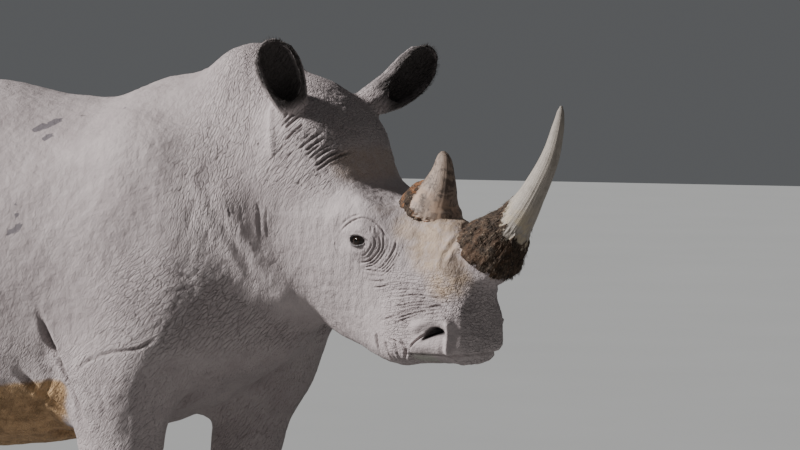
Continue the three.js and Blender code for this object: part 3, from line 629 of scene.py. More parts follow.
# Raises the fine wrinkles of each region.
def wrinkle(skin):
    points, normals = pointsOf(skin), normalsOf(skin)
    regions = regionsOf(points)
    shares = grainShares(points)
    flat = sideOn(points)[0]
    face = regions["face"]
    body = 1 - face
    x, z = points[:, 0] - bodyStart, points[:, 2]
    byNostril = (1 - ramp(nostrilShare(flat, 1.3), 0.8, 1.2)) * face
    calm = 1 - wrinkleWork["calm"] * np.maximum(regions["ear"], byNostril)
    calm *= 1 - bump(fromEye(flat), wrinkleWork["eyeCalm"]) * face
    calm *= 1 - wrinkleWork["lipCalm"] * lipShare(flat) * face
    warp = np.stack([waves(points / 0.11, seed) for seed in (21, 22, 23)], 1) * 0.05
    warp += np.stack([waves(points / 0.035, seed) for seed in (24, 25, 26)], 1) * 0.010
    moved = points + warp
    shift = np.zeros(len(points))

    # Long grooves that meet and part, along a lean. Sizes and depths are in millimetres.
    def ripple(lean, size, seed, deep, share):
        picked = np.nonzero(share > 0.02)[0]
        height = waves(grain(moved[picked], lean, size), seed)
        shift[picked] += deep / 1000 * share[picked] * (1.2 * (height - 0.5) - bump(height - 0.5, 0.11))

    # Small raised scales.
    def cobble(lean, size, seed, deep, share):
        picked = np.nonzero(share > 0.02)[0]
        first, second = cells(grain(moved[picked], lean, size), seed)
        shift[picked] += deep / 1000 * share[picked] * (0.4 * (1 - first) - bump(second - first, 0.2))

    chest, leg, steep, level = (shares[name] for name in ("chest", "leg", "steep", "level"))
    shoulder = ramp(x, -0.55, -0.15) * (1 - ramp(x, 0.10, 0.25)) * ramp(z, 0.90, 1.10)
    rear = 1 - ramp(x, -0.60, -0.30)
    ripple(12, (30, 60, 150), 3, 0.8, body * (1 - chest) * (1 - steep))
    ripple(38, (18, 34, 80), 4, 1.3, shoulder * (1 - chest))
    ripple(-14, (24, 50, 130), 5, 1.6, rear * body * (1 - leg))
    ripple(14, (15, 34, 100), 7, 2.0, steep * body)
    ripple(18, (40, 60, 170), 8, 1.2, steep * body)
    ripple(48, (15, 26, 80), 6, 1.1, chest)
    cobble(48, (13, 20, 40), 9, 0.5, chest)
    ripple(30, (20, 30, 70), 10, 1.2, leg * (1 - regions["foot"]))
    ripple(84, (22, 22, 60), 12, 2.6, leg * (1 - ramp(z, 0.20, 0.45)))
    ripple(40, (10, 20, 60), 11, 1.3, shares["slant"] * face)
    ripple(86, (12, 18, 55), 13, 1.5, level)
    cobble(80, (16, 18, 34), 14, 0.7, level)
    ripple(14, (12, 24, 60), 15, 0.9, shares["cheek"])
    soft = waves(points / 0.16, 31) + 0.5 * waves(points / 0.07, 32) - 0.75
    soft = soft * (wrinkleWork["softBody"] * body + wrinkleWork["softFace"] * face)
    shift = shift * calm + soft * (1 - regions["ear"])
    points = points + normals * shift[:, None]
    # Nothing goes below the floor.
    points[:, 2] = np.maximum(points[:, 2], 0)
    movePoints(skin, points)


thinWork = {"face": 0.45, "near": 0.35, "eye": 0.9, "muzzle": 0.75, "neck": 0.45, "ear": 0.75, "foot": 0.25,
            "tail": 0.5, "hold": 0.00012}


# Fewer faces, more of them kept where the shapes are fine and on the turned side of the head.
def thin(skin):
    points = pointsOf(skin)
    regions = regionsOf(points)
    flat = sideOn(points)[0]
    x = points[:, 0] - bodyStart
    near = ramp(-points[:, 1], -0.15, 0.05)
    byEye = bump(fromEye(flat), 0.075) * regions["face"]
    byMouth = regions["face"] * ramp(flat[:, 0], 0.24, 0.34) * (1 - ramp(flat[:, 1], -0.50, -0.44))
    fine = [regions["face"] * (thinWork["face"] + thinWork["near"] * near), byEye * thinWork["eye"],
            byMouth * thinWork["muzzle"], thinWork["neck"] * ramp(x, -0.30, 0.10) * near]
    fine += [thinWork[name] * regions[name] for name in ("ear", "foot", "tail")]
    weightsOn(skin, "thin", 1 - np.maximum.reduce(fine))
    triangles = sum(len(p.vertices) - 2 for p in skin.data.polygons)
    modifier = skin.modifiers.new("Thin", "DECIMATE")
    modifier.ratio = skinWork["triangles"] / triangles
    modifier.use_collapse_triangulate = True
    modifier.vertex_group = "thin"
    modifier.vertex_group_factor = thinWork["hold"]
    applyAll(skin)
    skin.vertex_groups.clear()
    print("skin triangles", len(skin.data.polygons))


# Finer faces in three steps: on the head, neck and chest, then round the eyes and nostrils, then on the eyelids.
def refine(skin):
    for step in ("head", "eyeAndNose", "eye"):
        points = pointsOf(skin)
        flat, lateral = sideOn(points)
        forward, up = flat.T
        regions = regionsOf(points)
        beside = np.abs(lateral) > 0.05
        onFace = beside & (regions["face"] > 0.5)
        if step == "head":
            wanted = regions["face"] + regions["ear"] > 0.3
            wanted |= (forward > -0.17) & (forward < 0.02) & (up > -0.50) & (up < -0.10) & beside
            wanted |= (grainShares(points)["chest"] > 0.4) & (points[:, 1] < 0.1)
        elif step == "eyeAndNose":
            byEye = np.hypot(*(flat - eyeSpot - (0.02, -0.02)).T) < 0.125
            wanted = (byEye | (forward > 0.29) & (up > -0.69) & (up < -0.44)) & onFace
        else:
            wanted = (fromEye(flat) < 0.042) & onFace
        subdivide(skin, wanted)


refine(skin)
print("skin refined", len(skin.data.vertices))
sculpt(skin)
print("skin folded")
wrinkle(skin)
print("skin wrinkled")
thin(skin)


# Places on the hide with a colour of their own, in millimetres: forward and up, how long and how high, then how far
# they lean in degrees and how strong they are.
hideMarks = {
    "tan": [
        (450, -330, 95, 120, -20, 1),
        (490, -430, 75, 80, 0, 1),
        (385, -290, 80, 65, 20, 0.8),
        (160, -130, 50, 60, 30, 0.45),
    ],
    "smudge": [
        (505, -405, 40, 34, 30, 0.8),
        (380, -345, 22, 50, 10, 0.5),
        (437, -375, 45, 24, 10, 0.35),
        (300, -250, 45, 28, 10, 0.35),
    ],
    "spots": [
        (-345, 1520, 52, 17, 25, 1),
        (-322, 1486, 20, 12, 30, 0.9),
        (-106, 1570, 16, 9, 25, 0.6),
        (-334, 1262, 14, 62, 24, 0.9),
        (-352, 1232, 12, 28, 30, 0.8),
        (-125, 1040, 12, 14, 0, 0.6),
        (-25, 1010, 10, 16, 0, 0.6),
        (-60, 1036, 10, 12, 0, 0.5),
        (-75, 860, 16, 30, 10, 0.5),
        (-205, 1440, 8, 8, 0, 0.6),
    ],
}
mudWork = {"top": 0.815, "fall": 0.14, "soft": 0.030, "from": -1.15, "to": -0.14, "leg": (0.62, 0.80),
           "elbow": (-0.30, -0.24), "bottom": (0.46, 0.56)}
# Which way each ear is open, along the level head.
earOpen = {"left": (0.86, -0.1, 0.1), "right": (0.62, -0.72, 0.05)}


def markShare(flat, marks):
    share = np.zeros(len(flat))
    for forward, up, long, high, lean, strength in marks:
        t = math.radians(lean)
        x, y = flat[:, 0] - forward / 1000, flat[:, 1] - up / 1000
        a = (x * math.cos(t) + y * math.sin(t)) / (long / 1000)
        b = (y * math.cos(t) - x * math.sin(t)) / (high / 1000)
        share = np.maximum(share, strength * (1 - ramp(np.sqrt(a * a + b * b), 0.55, 1.05)))
    return share


# How much each place is sunk below its neighbours, about 0 to 1. The hide darkens these hollows with painted shade.
def hollows(obj, points, normals):
    a, b = readAll(obj.data.edges, "vertices", 2, int).T
    step = points[b] - points[a]
    length = np.maximum(np.linalg.norm(step, axis=1), 1e-6)
    rise = np.bincount(a, (step * normals[a]).sum(1) / length, len(points))
    rise -= np.bincount(b, (step * normals[b]).sum(1) / length, len(points))
    count = np.bincount(a, minlength=len(points)) + np.bincount(b, minlength=len(points))
    rise = rise / np.maximum(count, 1)
    near = np.bincount(a, rise[b], len(points)) + np.bincount(b, rise[a], len(points))
    return 0.6 * rise + 0.4 * near / np.maximum(count, 1)


def storeShare(obj, name, values):
    attribute = obj.data.attributes.new(name=name, type="FLOAT", domain="POINT")
    attribute.data.foreach_set("value", np.clip(values, 0, 1).astype(np.float32))


def mudShare(flank, leg):
    x, z = flank.T
    end, soft = mudWork["to"], mudWork["soft"]
    top = mudWork["top"] + mudWork["fall"] * np.minimum(x - end, 0)
    limb = leg * (1 - ramp(z, *mudWork["leg"])) * ramp(x, *mudWork["elbow"])
    mud = (1 - ramp(z - top, -soft, soft)) * (1 - limb)
    mud *= ramp(x, mudWork["from"], mudWork["from"] + 0.4) * (1 - ramp(x, end - 0.12, end))
    return mud * ramp(z, *mudWork["bottom"])


# Where each ear cup faces its opening; the hide paints shade there.
def earInside(points, normals):
    inside = np.zeros(len(points))
    for side, line in earLines.items():
        gap, t = fromLine(points, line)
        toward = unit(np.array(earOpen[side]) @ levelAxes)
        inside = np.maximum(inside, (gap < 0.1) * ramp(t, 0.30, 0.42) * ramp(normals @ toward, 0.05, 0.5))
    return inside


# Stores what the hide's colours need to know about each place.
def paintShares(skin):
    points, normals = pointsOf(skin), normalsOf(skin)
    regions = regionsOf(points)
    grains = grainShares(points)
    flat = sideOn(points)[0]
    forward, up = flat.T
    flank, across = flankOn(points)
    face = regions["face"]
    rough = np.maximum.reduce([grains["steep"] * (1 - face), grains["chest"], 0.8 * grains["leg"],
                               0.75 * grains["level"], grains["slant"] * face, 0.7 * grains["cobble"]])
    # Painted shade in the nostril opening; with the rim round each eye, this share also makes the skin darker and wet.
    nostrilShade = (1 - ramp(nostrilShare(flat), 0.8, 1.4)) * face
    eyeRim = (1 - ramp(np.hypot(forward - eyeSpot[0], 1.4 * (up - eyeSpot[1])), 0.021, 0.031)) * face
    shares = {name: grains[name] for name in ("level", "slant", "steep", "cobble")}
    # Painted shade: how strongly each hollow is darkened.
    shares["hollow"] = ramp(hollows(skin, points, normals), 0.03, 0.30)
    shares["rough"] = (0.24 + 0.76 * rough) * (1 - 0.8 * lipShare(flat) * face)
    shares["tan"] = markShare(flat, hideMarks["tan"]) * face
    shares["smudge"] = markShare(flat, hideMarks["smudge"]) * face
    shares["spots"] = markShare(flank, hideMarks["spots"]) * ramp(-across, 0.0, 0.1)
    shares["mud"] = mudShare(flank, regions["leg"])
    shares["lip"] = bump(up + 0.662, 0.012) * ramp(forward, 0.37, 0.40) * (1 - ramp(forward, 0.44, 0.47)) * face
    shares["wet"] = np.maximum(nostrilShade, 0.85 * eyeRim)
    shares["innerEar"] = earInside(points, normals)
    for name, values in shares.items():
        storeShare(skin, name, values)


hide = {
    "pale": (0.414, 0.356, 0.350),
    "deep": (0.296, 0.248, 0.246),
    # Painted shade: the near-black colour laid into the wrinkle grooves and the hollows of the hide.
    "crease": (0.100, 0.082, 0.078),
    "tan": (0.365, 0.268, 0.195),
    "smudge": (0.160, 0.120, 0.095),
    "mud": (0.420, 0.265, 0.135),
    "mudDark": (0.230, 0.140, 0.068),
    "spot": (0.095, 0.082, 0.092),
    # Painted shade in the nostril opening, and the dark wet rim round each eye.
    "wet": (0.030, 0.026, 0.026),
    "lip": (0.330, 0.330, 0.280),
    # Painted shade inside the ear cups.
    "innerEar": (0.055, 0.046, 0.044),
    "roughness": 0.78,
    "wetRoughness": 0.45,
    "specular": 0.35,
    "bumps": {"broad": 0.006, "wrinkles": 0.0031, "pores": 0.0008},
}


# A short way to lay out shader nodes: each call adds one and returns the socket asked for.
class Nodes:
    def __init__(self, name):
        self.material = bpy.data.materials.new(name)
        self.material.use_nodes = True
        self.tree = self.material.node_tree
        self.place = self.add("TexCoord", {}, "Object")

    def put(self, socket, value):
        if isinstance(value, bpy.types.NodeSocket):
            self.tree.links.new(value, socket)
        elif isinstance(value, (tuple, list)) and len(value) == 3 and socket.type == "RGBA":
            socket.default_value = (*value, 1)
        else:
            socket.default_value = value

    def add(self, kind, inputs, output=0, **settings):
        node = self.tree.nodes.new("ShaderNode" + kind)
        for name, value in settings.items():
            setattr(node, name, value)
        for name, value in inputs.items():
            self.put(node.inputs[name], value)
        return node.outputs[output]

    def share(self, name):
        return self.add("Attribute", {}, "Fac", attribute_name=name)

    def math(self, kind, a, b=0.0, c=0.0):
        return self.add("Math", {0: a, 1: b, 2: c}, operation=kind)

    def times(self, a, b):
        return self.math("MULTIPLY", a, b)

    def plus(self, a, b):
        return self.math("ADD", a, b)

    def mix(self, share, a, b):
        return self.add("Mix", {0: share, 6: a, 7: b}, 2, data_type="RGBA")

    # Lays colours over each other, each where its share is high.
    def layers(self, colour, *over):
        for share, tone in over:
            colour = self.mix(share, colour, tone)
        return colour

    def span(self, value, low, high, to=(0.0, 1.0)):
        return self.add("MapRange", dict(enumerate((value, low, high, *to))), interpolation_type="SMOOTHSTEP")

    def noise(self, scale, detail=3.0, rough=0.55, warp=0.0, at=None):
        inputs = {"Scale": scale, "Detail": detail, "Roughness": rough, "Distortion": warp}
        return self.add("TexNoise", {"Vector": at or self.place, **inputs})

    # Coordinates counted in cells, leaning forward by an angle.
    def grain(self, vector, lean, size):
        inputs = {"Vector": vector, "Rotation": (0, math.radians(lean), 0), "Scale": size}
        return self.add("Mapping", inputs, vector_type="TEXTURE")

    def stretch(self, vector, scale):
        return self.add("Mapping", {"Vector": vector, "Scale": scale})

    def bump(self, height, deep, under=None):
        inputs = {"Strength": 1, "Distance": deep, "Height": height}
        return self.add("Bump", {**inputs, "Normal": under} if under else inputs)

    def surface(self, **looks):
        for name, value in looks.items():
            self.put(self.tree.nodes["Principled BSDF"].inputs[socketNames.get(name, name)], value)
        return self.material


socketNames = {"Colour": "Base Color", "Specular": "Specular IOR Level"}


def hideMaterial():
    n = Nodes("hide")
    jitter = n.add("TexNoise", {"Vector": n.place, "Scale": 14}, "Color")
    place = n.add("VectorMath", {0: jitter, 1: (0.008, 0.008, 0.008), 2: n.place}, operation="MULTIPLY_ADD")

    # Cells and soft swells, leaning forward by an angle, for cells of a size in tenths of a millimetre.
    def ripples(lean, size):
        size = [s / 10000 for s in size]
        edges = {"Vector": n.grain(place, lean, size), "Scale": 1.0}
        cut = n.span(n.add("TexVoronoi", edges, "Distance", feature="DISTANCE_TO_EDGE"), 0.0, 0.14)
        swell = n.noise(1.0, 2.0, at=n.grain(place, lean, [s * 0.8 for s in size]))
        return n.plus(n.times(cut, 0.8), n.times(swell, 0.35))

    height = n.times(ripples(28, (70, 140, 400)), 0.5)
    runs = {"steep": (12, (82, 160, 580)), "slant": (42, (88, 160, 480)), "level": (84, (80, 140, 340)),
            "cobble": (48, (85, 160, 420))}
    for name, (lean, size) in runs.items():
        height = n.math("MULTIPLY_ADD", ripples(lean, size), n.share(name), height)
    normal = n.bump(n.noise(34), hide["bumps"]["broad"])
    normal = n.bump(n.times(height, n.share("rough")), hide["bumps"]["wrinkles"], normal)
    normal = n.bump(n.noise(420, 2.0), hide["bumps"]["pores"], normal)

    mottle = n.span(n.noise(3.2, 5.0, 0.6), 0.35, 0.65)
    blotch = n.span(n.noise(22, 4.0, 0.6, 0.4), 0.35, 0.70)
    # Painted shade: the lower the wrinkle pattern, the more of the crease shade colour it gets.
    sunk = n.span(height, 0.30, 0.90, (0.50, 0.0))
    patchy = n.span(n.noise(40, 4.0, 0.65), 0.30, 0.62)
    ragged = n.plus(n.share("spots"), n.times(n.noise(110, 4.0, 0.7), 0.5))
    freckles = n.span(n.noise(16, 6.0, 0.85), 0.72, 0.78)
    mudEdge = n.plus(n.share("mud"), n.times(n.noise(18, 5.0, 0.7), 0.55))
    mudTone = n.mix(n.span(n.noise(30, 5.0, 0.7), 0.35, 0.65), hide["mud"], hide["mudDark"])
    colour = n.layers(
        hide["pale"],
        (n.math("MULTIPLY_ADD", blotch, 0.35, n.times(mottle, 0.5)), hide["deep"]),
        # Painted shade in the wrinkle grooves.
        (n.times(sunk, n.share("rough")), hide["crease"]),
        # Painted shade in the hollows.
        (n.times(n.share("hollow"), 0.55), hide["crease"]),
        (n.times(n.share("tan"), n.span(patchy, 0, 1, (0.45, 0.95))), hide["tan"]),
        (n.times(n.share("smudge"), patchy), hide["smudge"]),
        (n.span(ragged, 0.72, 0.92, (0.0, 0.85)), hide["spot"]),
        (n.times(freckles, 0.5), hide["spot"]),
        (n.span(mudEdge, 0.55, 0.95), mudTone),
        # Painted shade inside the ear cups.
        (n.share("innerEar"), hide["innerEar"]),
        (n.times(n.share("lip"), 0.8), hide["lip"]),
        # Painted shade in the nostril opening, and the dark wet rim round each eye.
        (n.share("wet"), hide["wet"]),
    )
    shine = n.span(n.share("wet"), 0, 1, (hide["roughness"], hide["wetRoughness"]))
    return n.surface(Colour=colour, Roughness=shine, Specular=hide["specular"], Normal=normal)


skin.data.shade_smooth()
paintShares(skin)
skin.data.materials.append(hideMaterial())
print("hide coloured")


# Each horn is a row of rings along a curve in the head's middle plane: place along and above, then half width
# and half depth at a few marks, with 0 at the base and 1 at the tip.
hornWork = {
    "horn_front": {
        "line": [(0.648, 0.144), (0.651, 0.204), (0.648, 0.290), (0.630, 0.389), (0.595, 0.500), (0.551, 0.578),
                 (0.513, 0.629)],
        "marks": (0, 0.04, 0.12, 0.21, 0.30, 0.48, 0.71, 0.885, 0.97, 1),
        "wide": (0.0780, 0.0820, 0.0800, 0.0660, 0.0490, 0.0340, 0.0240, 0.0155, 0.0090, 0.0030),
        "deep": (0.0960, 0.0980, 0.0910, 0.0700, 0.0525, 0.0375, 0.0265, 0.0175, 0.0100, 0.0030),
        "skirt": 0.265,
        "skirtBack": 0.110,
        "baseTilt": 0.25,
        "rings": 210,
        "around": 150,
    },
    "horn_rear": {
        "line": [(0.446, 0.082), (0.424, 0.122), (0.407, 0.162), (0.376, 0.208), (0.340, 0.240)],
        "marks": (0, 0.10, 0.21, 0.42, 0.70, 0.88, 0.96, 1),
        "wide": (0.0800, 0.0820, 0.0770, 0.0515, 0.0310, 0.0215, 0.0140, 0.0050),
        "deep": (0.0910, 0.0920, 0.0860, 0.0560, 0.0330, 0.0225, 0.0145, 0.0050),
        "skirt": 0.060,
        "skirtBack": 0.420,
        "baseTilt": 0.0,
        "rings": 130,
        "around": 130,
    },
}


def hornRings(work):
    path = drawn(work["line"], 400)
    lengths = np.concatenate([[0], np.cumsum(np.linalg.norm(np.diff(path, axis=0), axis=1))])
    t = np.linspace(0, 1, work["rings"])
    centre = np.stack([np.interp(t * lengths[-1], lengths, path[:, i]) for i in (0, 1)], 1)
    heading = np.gradient(centre, axis=0)
    heading /= np.linalg.norm(heading, axis=1)[:, None]
    return t, centre, heading, lengths[-1]


# A mesh from rows of points, each row closed on itself, with the first and last rows capped.
def ringMesh(name, rows):
    count, around = rows.shape[:2]
    i, j = np.meshgrid(np.arange(count - 1), np.arange(around), indexing="ij")
    k = (j + 1) % around
    quads = np.stack([i * around + j, i * around + k, (i + 1) * around + k, (i + 1) * around + j], -1)
    points = np.vstack([rows.reshape(-1, 3), rows[0].mean(0), rows[-1].mean(0)])
    low, high, top = len(points) - 2, len(points) - 1, (count - 1) * around
    ends = [(a, (a + 1) % around) for a in range(around)]
    faces = quads.reshape(-1, 4).tolist() + [[b, a, low] for a, b in ends]
    faces += [[top + a, top + b, high] for a, b in ends]
    mesh = bpy.data.meshes.new(name)
    mesh.from_pydata(points.tolist(), [], faces)
    return addObject(name, mesh)


# Stores a share on such a mesh, with one value more for the middle of each end.
def storeOnRings(obj, name, values, ends):
    storeShare(obj, name, np.concatenate([np.ravel(values), ends]))


# How much of a place on a horn is fibrous skirt: all of it low down, with a torn edge that climbs at the back.
def skirtShare(t, angle, work, seed):
    spot = np.stack([np.cos(angle) * 3.2, np.sin(angle) * 3.2, t * 14], -1).reshape(-1, 3)
    torn = (waves(spot * 1.6, seed) - 0.5) * 0.09 + (waves(spot * 5, seed + 1) - 0.5) * 0.08
    edge = work["skirt"] + torn.reshape(t.shape) + work["skirtBack"] * ramp(-np.cos(angle), -0.1, 0.8)
    return 1 - ramp(t, edge - 0.05, edge + 0.05)


# How high the streaks of the bare horn and the clumps and fibres of its skirt stand, and how far it is tucked in.
hornRelief = {"streaks": 0.0013, "fine": 0.0006, "clumps": 0.0120, "fibres": 0.0070, "raised": 0.0025, "tuck": 0.0040}


def buildHorn(name):
    work = hornWork[name]
    t, centre, heading, length = hornRings(work)
    angles = np.linspace(0, 2 * math.pi, work["around"], endpoint=False)
    tt, aa = np.meshgrid(t, angles, indexing="ij")
    skirt = skirtShare(tt, aa, work, 40)
    soften = np.array([1, 2, 3, 2, 1]) / 9

    def profile(sizes):
        return np.convolve(np.pad(np.interp(t, work["marks"], sizes), 2, mode="edge"), soften, mode="valid")[:, None]

    # Random heights round the horn and up it, about 0.
    def grooves(round, climb, scale, seed):
        spot = np.stack([np.cos(aa) * round, np.sin(aa) * round, tt * length * climb], -1).reshape(-1, 3)
        return waves(spot * scale, seed).reshape(tt.shape) - 0.5

    wide, deep = profile(work["wide"]), profile(work["deep"])
    streaks, fine = grooves(7, 5, (3, 3, 0.7), 51), grooves(7, 5, (8, 8, 1.6), 52)
    clumps, fibres = grooves(10, 26, 1, 53), grooves(10, 26, (3.2, 3.2, 1.3), 54)
    smooth = hornRelief["streaks"] * streaks + hornRelief["fine"] * fine
    smooth = smooth * np.clip(np.minimum(wide, deep) / 0.03, 0.2, 1)
    rough = hornRelief["clumps"] * clumps + hornRelief["fibres"] * fibres + hornRelief["raised"]
    bulge = smooth * (1 - skirt) + rough * skirt
    bulge -= hornRelief["tuck"] * skirt * (1 - ramp(tt, 0.0, 0.05))
    across = (wide + bulge) * np.sin(aa)
    front = (deep + bulge) * np.cos(aa)
    sideways = np.stack([heading[:, 1], -heading[:, 0]], 1)
    along = centre[:, 0:1] + sideways[:, 0:1] * front
    above = centre[:, 1:2] + sideways[:, 1:2] * front + work["baseTilt"] * front * (1 - ramp(tt, 0, 0.28))
    rows = fromHead(np.stack([along, across, above], -1).reshape(-1, 3)).reshape(*tt.shape, 3)
    horn = ringMesh(name + "Shape", rows)
    storeOnRings(horn, "skirt", skirt, (1, 0))
    storeOnRings(horn, "height", tt, (0, 1))
    storeOnRings(horn, "clump", clumps + 0.6 * fibres + 0.5, (0, 0))
    storeOnRings(horn, "turn", 0.5 + 0.5 * np.cos(aa), (1, 1))
    storeOnRings(horn, "turnSide", 0.5 + 0.5 * np.sin(aa), (0.5, 0.5))
    faceOutwards(horn)
    return horn


hornColours = {
    "hornFront": {"pale": (0.355, 0.312, 0.268), "grey": (0.262, 0.228, 0.194), "dark": (0.130, 0.112, 0.095),
                  "patch": (0.370, 0.305, 0.215), "mottle": 0.25, "rust": 0.10},
    "hornRear": {"pale": (0.350, 0.262, 0.208), "grey": (0.215, 0.155, 0.120), "dark": (0.085, 0.062, 0.050),
                 "patch": (0.430, 0.295, 0.215), "mottle": 0.9, "rust": 0.8},
    "skirt": (0.070, 0.047, 0.032),
    "skirtDark": (0.024, 0.017, 0.013),
    "skirtPale": (0.250, 0.195, 0.140),
    "rust": (0.270, 0.115, 0.048),
}


def hornMaterial(name):
    look = hornColours[name]
    n = Nodes(name + "Surface")
    turned = n.add("CombineXYZ", {0: n.share("turn"), 1: n.share("turnSide"), 2: n.share("height")})
    stretched = n.stretch(turned, (22, 22, 5))
    streak = n.noise(1.0, 5.0, 0.6, at=stretched)
    grit = n.noise(170, 4.0, 0.7)
    stain = n.span(n.noise(38, 5.0, 0.7, 0.6), 0.46, 0.62)
    tip = n.span(n.plus(n.share("height"), n.times(streak, 0.4)), 1.0, 1.3, (0.0, 0.45))
    patch = n.times(n.span(n.noise(24), 0.46, 0.60), n.span(n.share("height"), 0.30, 0.50, (1.0, 0.0)))
    body = n.layers(look["grey"], (n.span(streak, 0.34, 0.66), look["pale"]),
                    (n.times(stain, look["mottle"]), look["dark"]), (tip, look["dark"]), (patch, look["patch"]))
    clumps = n.span(n.noise(62, 5.0, 0.7, 0.5), 0.36, 0.60)
    flecks = n.times(n.span(grit, 0.56, 0.68), n.span(n.share("clump"), 0.35, 0.75))
    rusty = n.times(n.span(n.noise(19, 4.0, 0.7), 0.48, 0.60), look["rust"])
    shaggy = n.layers(hornColours["skirtDark"], (clumps, hornColours["skirt"]), (flecks, hornColours["skirtPale"]),
                      (rusty, hornColours["rust"]))
    ragged = n.plus(n.share("skirt"), n.math("MULTIPLY_ADD", grit, 1.3, -0.65))
    skirt = n.span(ragged, 0.30, 0.70)
    normal = n.bump(n.noise(4.0, 4.0, 0.7, at=stretched), 0.0010)
    normal = n.bump(n.times(n.noise(240, 3.0, 0.6), n.share("skirt")), 0.005, normal)
    return n.surface(Colour=n.mix(skirt, body, shaggy), Roughness=n.span(skirt, 0, 1, (0.55, 0.9)), Specular=0.3,
                     Normal=normal)


hornFront = buildHorn("horn_front")
hornFront.data.materials.append(hornMaterial("hornFront"))
hornRear = buildHorn("horn_rear")
hornRear.data.materials.append(hornMaterial("hornRear"))
for node, horn in (("horn_front", hornFront), ("horn_rear", hornRear)):
    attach(horn, "root")
    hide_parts(node)
print("horns built")


eyeLook = {"iris": 0.0125, "pupil": (0.0052, 0.0042), "rings": 40, "around": 64}


# A ball with its pole facing outwards, the clear front slightly raised over the iris.
def buildEye(side):
    outward = levelAxes[1] * sides[side]
    polar = np.linspace(0.02, math.pi - 0.02, eyeLook["rings"])
    angles = np.linspace(0, 2 * math.pi, eyeLook["around"], endpoint=False)
    tt, aa = np.meshgrid(polar, angles, indexing="ij")
    flat = eyeRadius * np.sin(tt)
    lift = 0.0010 * (1 - ramp(flat, eyeLook["iris"] * 0.6, eyeLook["iris"] * 1.2)) * (tt < math.pi / 2)
    deep = (eyeRadius - 0.0006) * np.cos(tt) + lift
    forward, up = flat * np.cos(aa), flat * np.sin(aa)
    rows = eyePlace[side] + deep[..., None] * outward
    rows = rows + forward[..., None] * levelAxes[0] + up[..., None] * levelAxes[2]
    eye = ringMesh("eye" + side.capitalize(), rows)
    storeOnRings(eye, "fromMiddle", np.where(tt < math.pi / 2, flat / eyeRadius, 1), (0, 1))
    storeOnRings(eye, "ahead", 0.5 + 0.5 * (forward / eyeRadius), (0.5, 0.5))
    storeOnRings(eye, "high", 0.5 + 0.5 * (up / eyeRadius), (0.5, 0.5))
    faceOutwards(eye)
    return eye


def eyeMaterial():
    n = Nodes("eyeSurface")
    edge = eyeLook["iris"] / eyeRadius
    ahead, high, away = n.share("ahead"), n.share("high"), n.share("fromMiddle")
    fleck = n.noise(26, 4.0, 0.6, at=n.add("CombineXYZ", {0: ahead, 1: high}))
    iris = n.mix(n.span(fleck, 0.35, 0.65), (0.008, 0.005, 0.0035), (0.018, 0.010, 0.006))
    wide, tall = (
        n.math("DIVIDE", n.math("SUBTRACT", place, 0.5), size / eyeRadius / 2)
        for place, size in zip((ahead, high), eyeLook["pupil"])
    )
    pupil = n.span(n.plus(n.times(wide, wide), n.times(tall, tall)), 0.8, 1.25, (1.0, 0.0))
    rim, white = n.span(away, edge * 0.88, edge * 1.04), n.span(away, edge * 1.12, edge * 1.4)
    colour = n.layers(iris, (pupil, (0.002, 0.002, 0.002)), (rim, (0.012, 0.009, 0.008)),
                      (white, (0.026, 0.020, 0.018)))
    return n.surface(Colour=colour, Roughness=0.06, IOR=1.38)


eyeSurface = eyeMaterial()
for side in sides:
    eye = buildEye(side)
    eye.data.materials.append(eyeSurface)
    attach(eye, "root")
    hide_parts("eye_" + side)
print("eyes built")


nailWork = {"levels": 2, "ridges": 0.0008, "shrink": 0.995}


# The stand-in's own shape, rounded and finely ridged.
def buildNail(node):
    nail = copyOf(node)
    first, *rest = node.split("_")
    nail.name = nail.data.name = first + "".join(word.capitalize() for word in rest)
    edit(nail, weld)
    start = pointsOf(nail)
    low, high = start.min(0), start.max(0)
    smooth = nail.modifiers.new("Round", "SUBSURF")
    smooth.levels = smooth.render_levels = nailWork["levels"]
    applyAll(nail)
    points, normals = pointsOf(nail), normalsOf(nail)
    grown = points.max(0) - points.min(0)
    middle = (points.max(0) + points.min(0)) / 2
    points = (low + high) / 2 + (points - middle) * ((high - low) / grown) * nailWork["shrink"]
    ridge = waves(points * (30, 30, 320), 61) - 0.5 + 0.6 * (waves(points * (160, 160, 60), 62) - 0.5)
    movePoints(nail, points + normals * (ridge * nailWork["ridges"])[:, None])
    faceOutwards(nail)
    return nail


def nailMaterial():
    n = Nodes("nailSurface")
    layered = n.noise(1.0, at=n.stretch(n.place, (20, 20, 260)))
    grit = n.noise(90, 5.0, 0.7)
    colour = n.layers((0.085, 0.066, 0.052), (n.span(layered, 0.35, 0.65), (0.165, 0.135, 0.110)),
                      (n.span(grit, 0.5, 0.7, (0.0, 0.7)), (0.230, 0.190, 0.150)))
    return n.surface(Colour=colour, Roughness=0.6, Normal=n.bump(n.plus(layered, grit), 0.0012))


nailSurface = nailMaterial()
for node in nailNodes:
    nail = buildNail(node)
    nail.data.materials.append(nailSurface)
    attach(nail, "root")
    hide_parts(node)
print("nails built")


tuftWork = {"steps": 4, "sides": 3, "patch": 0.003, "flat": 0.55, "unwrapFaces": 9000}


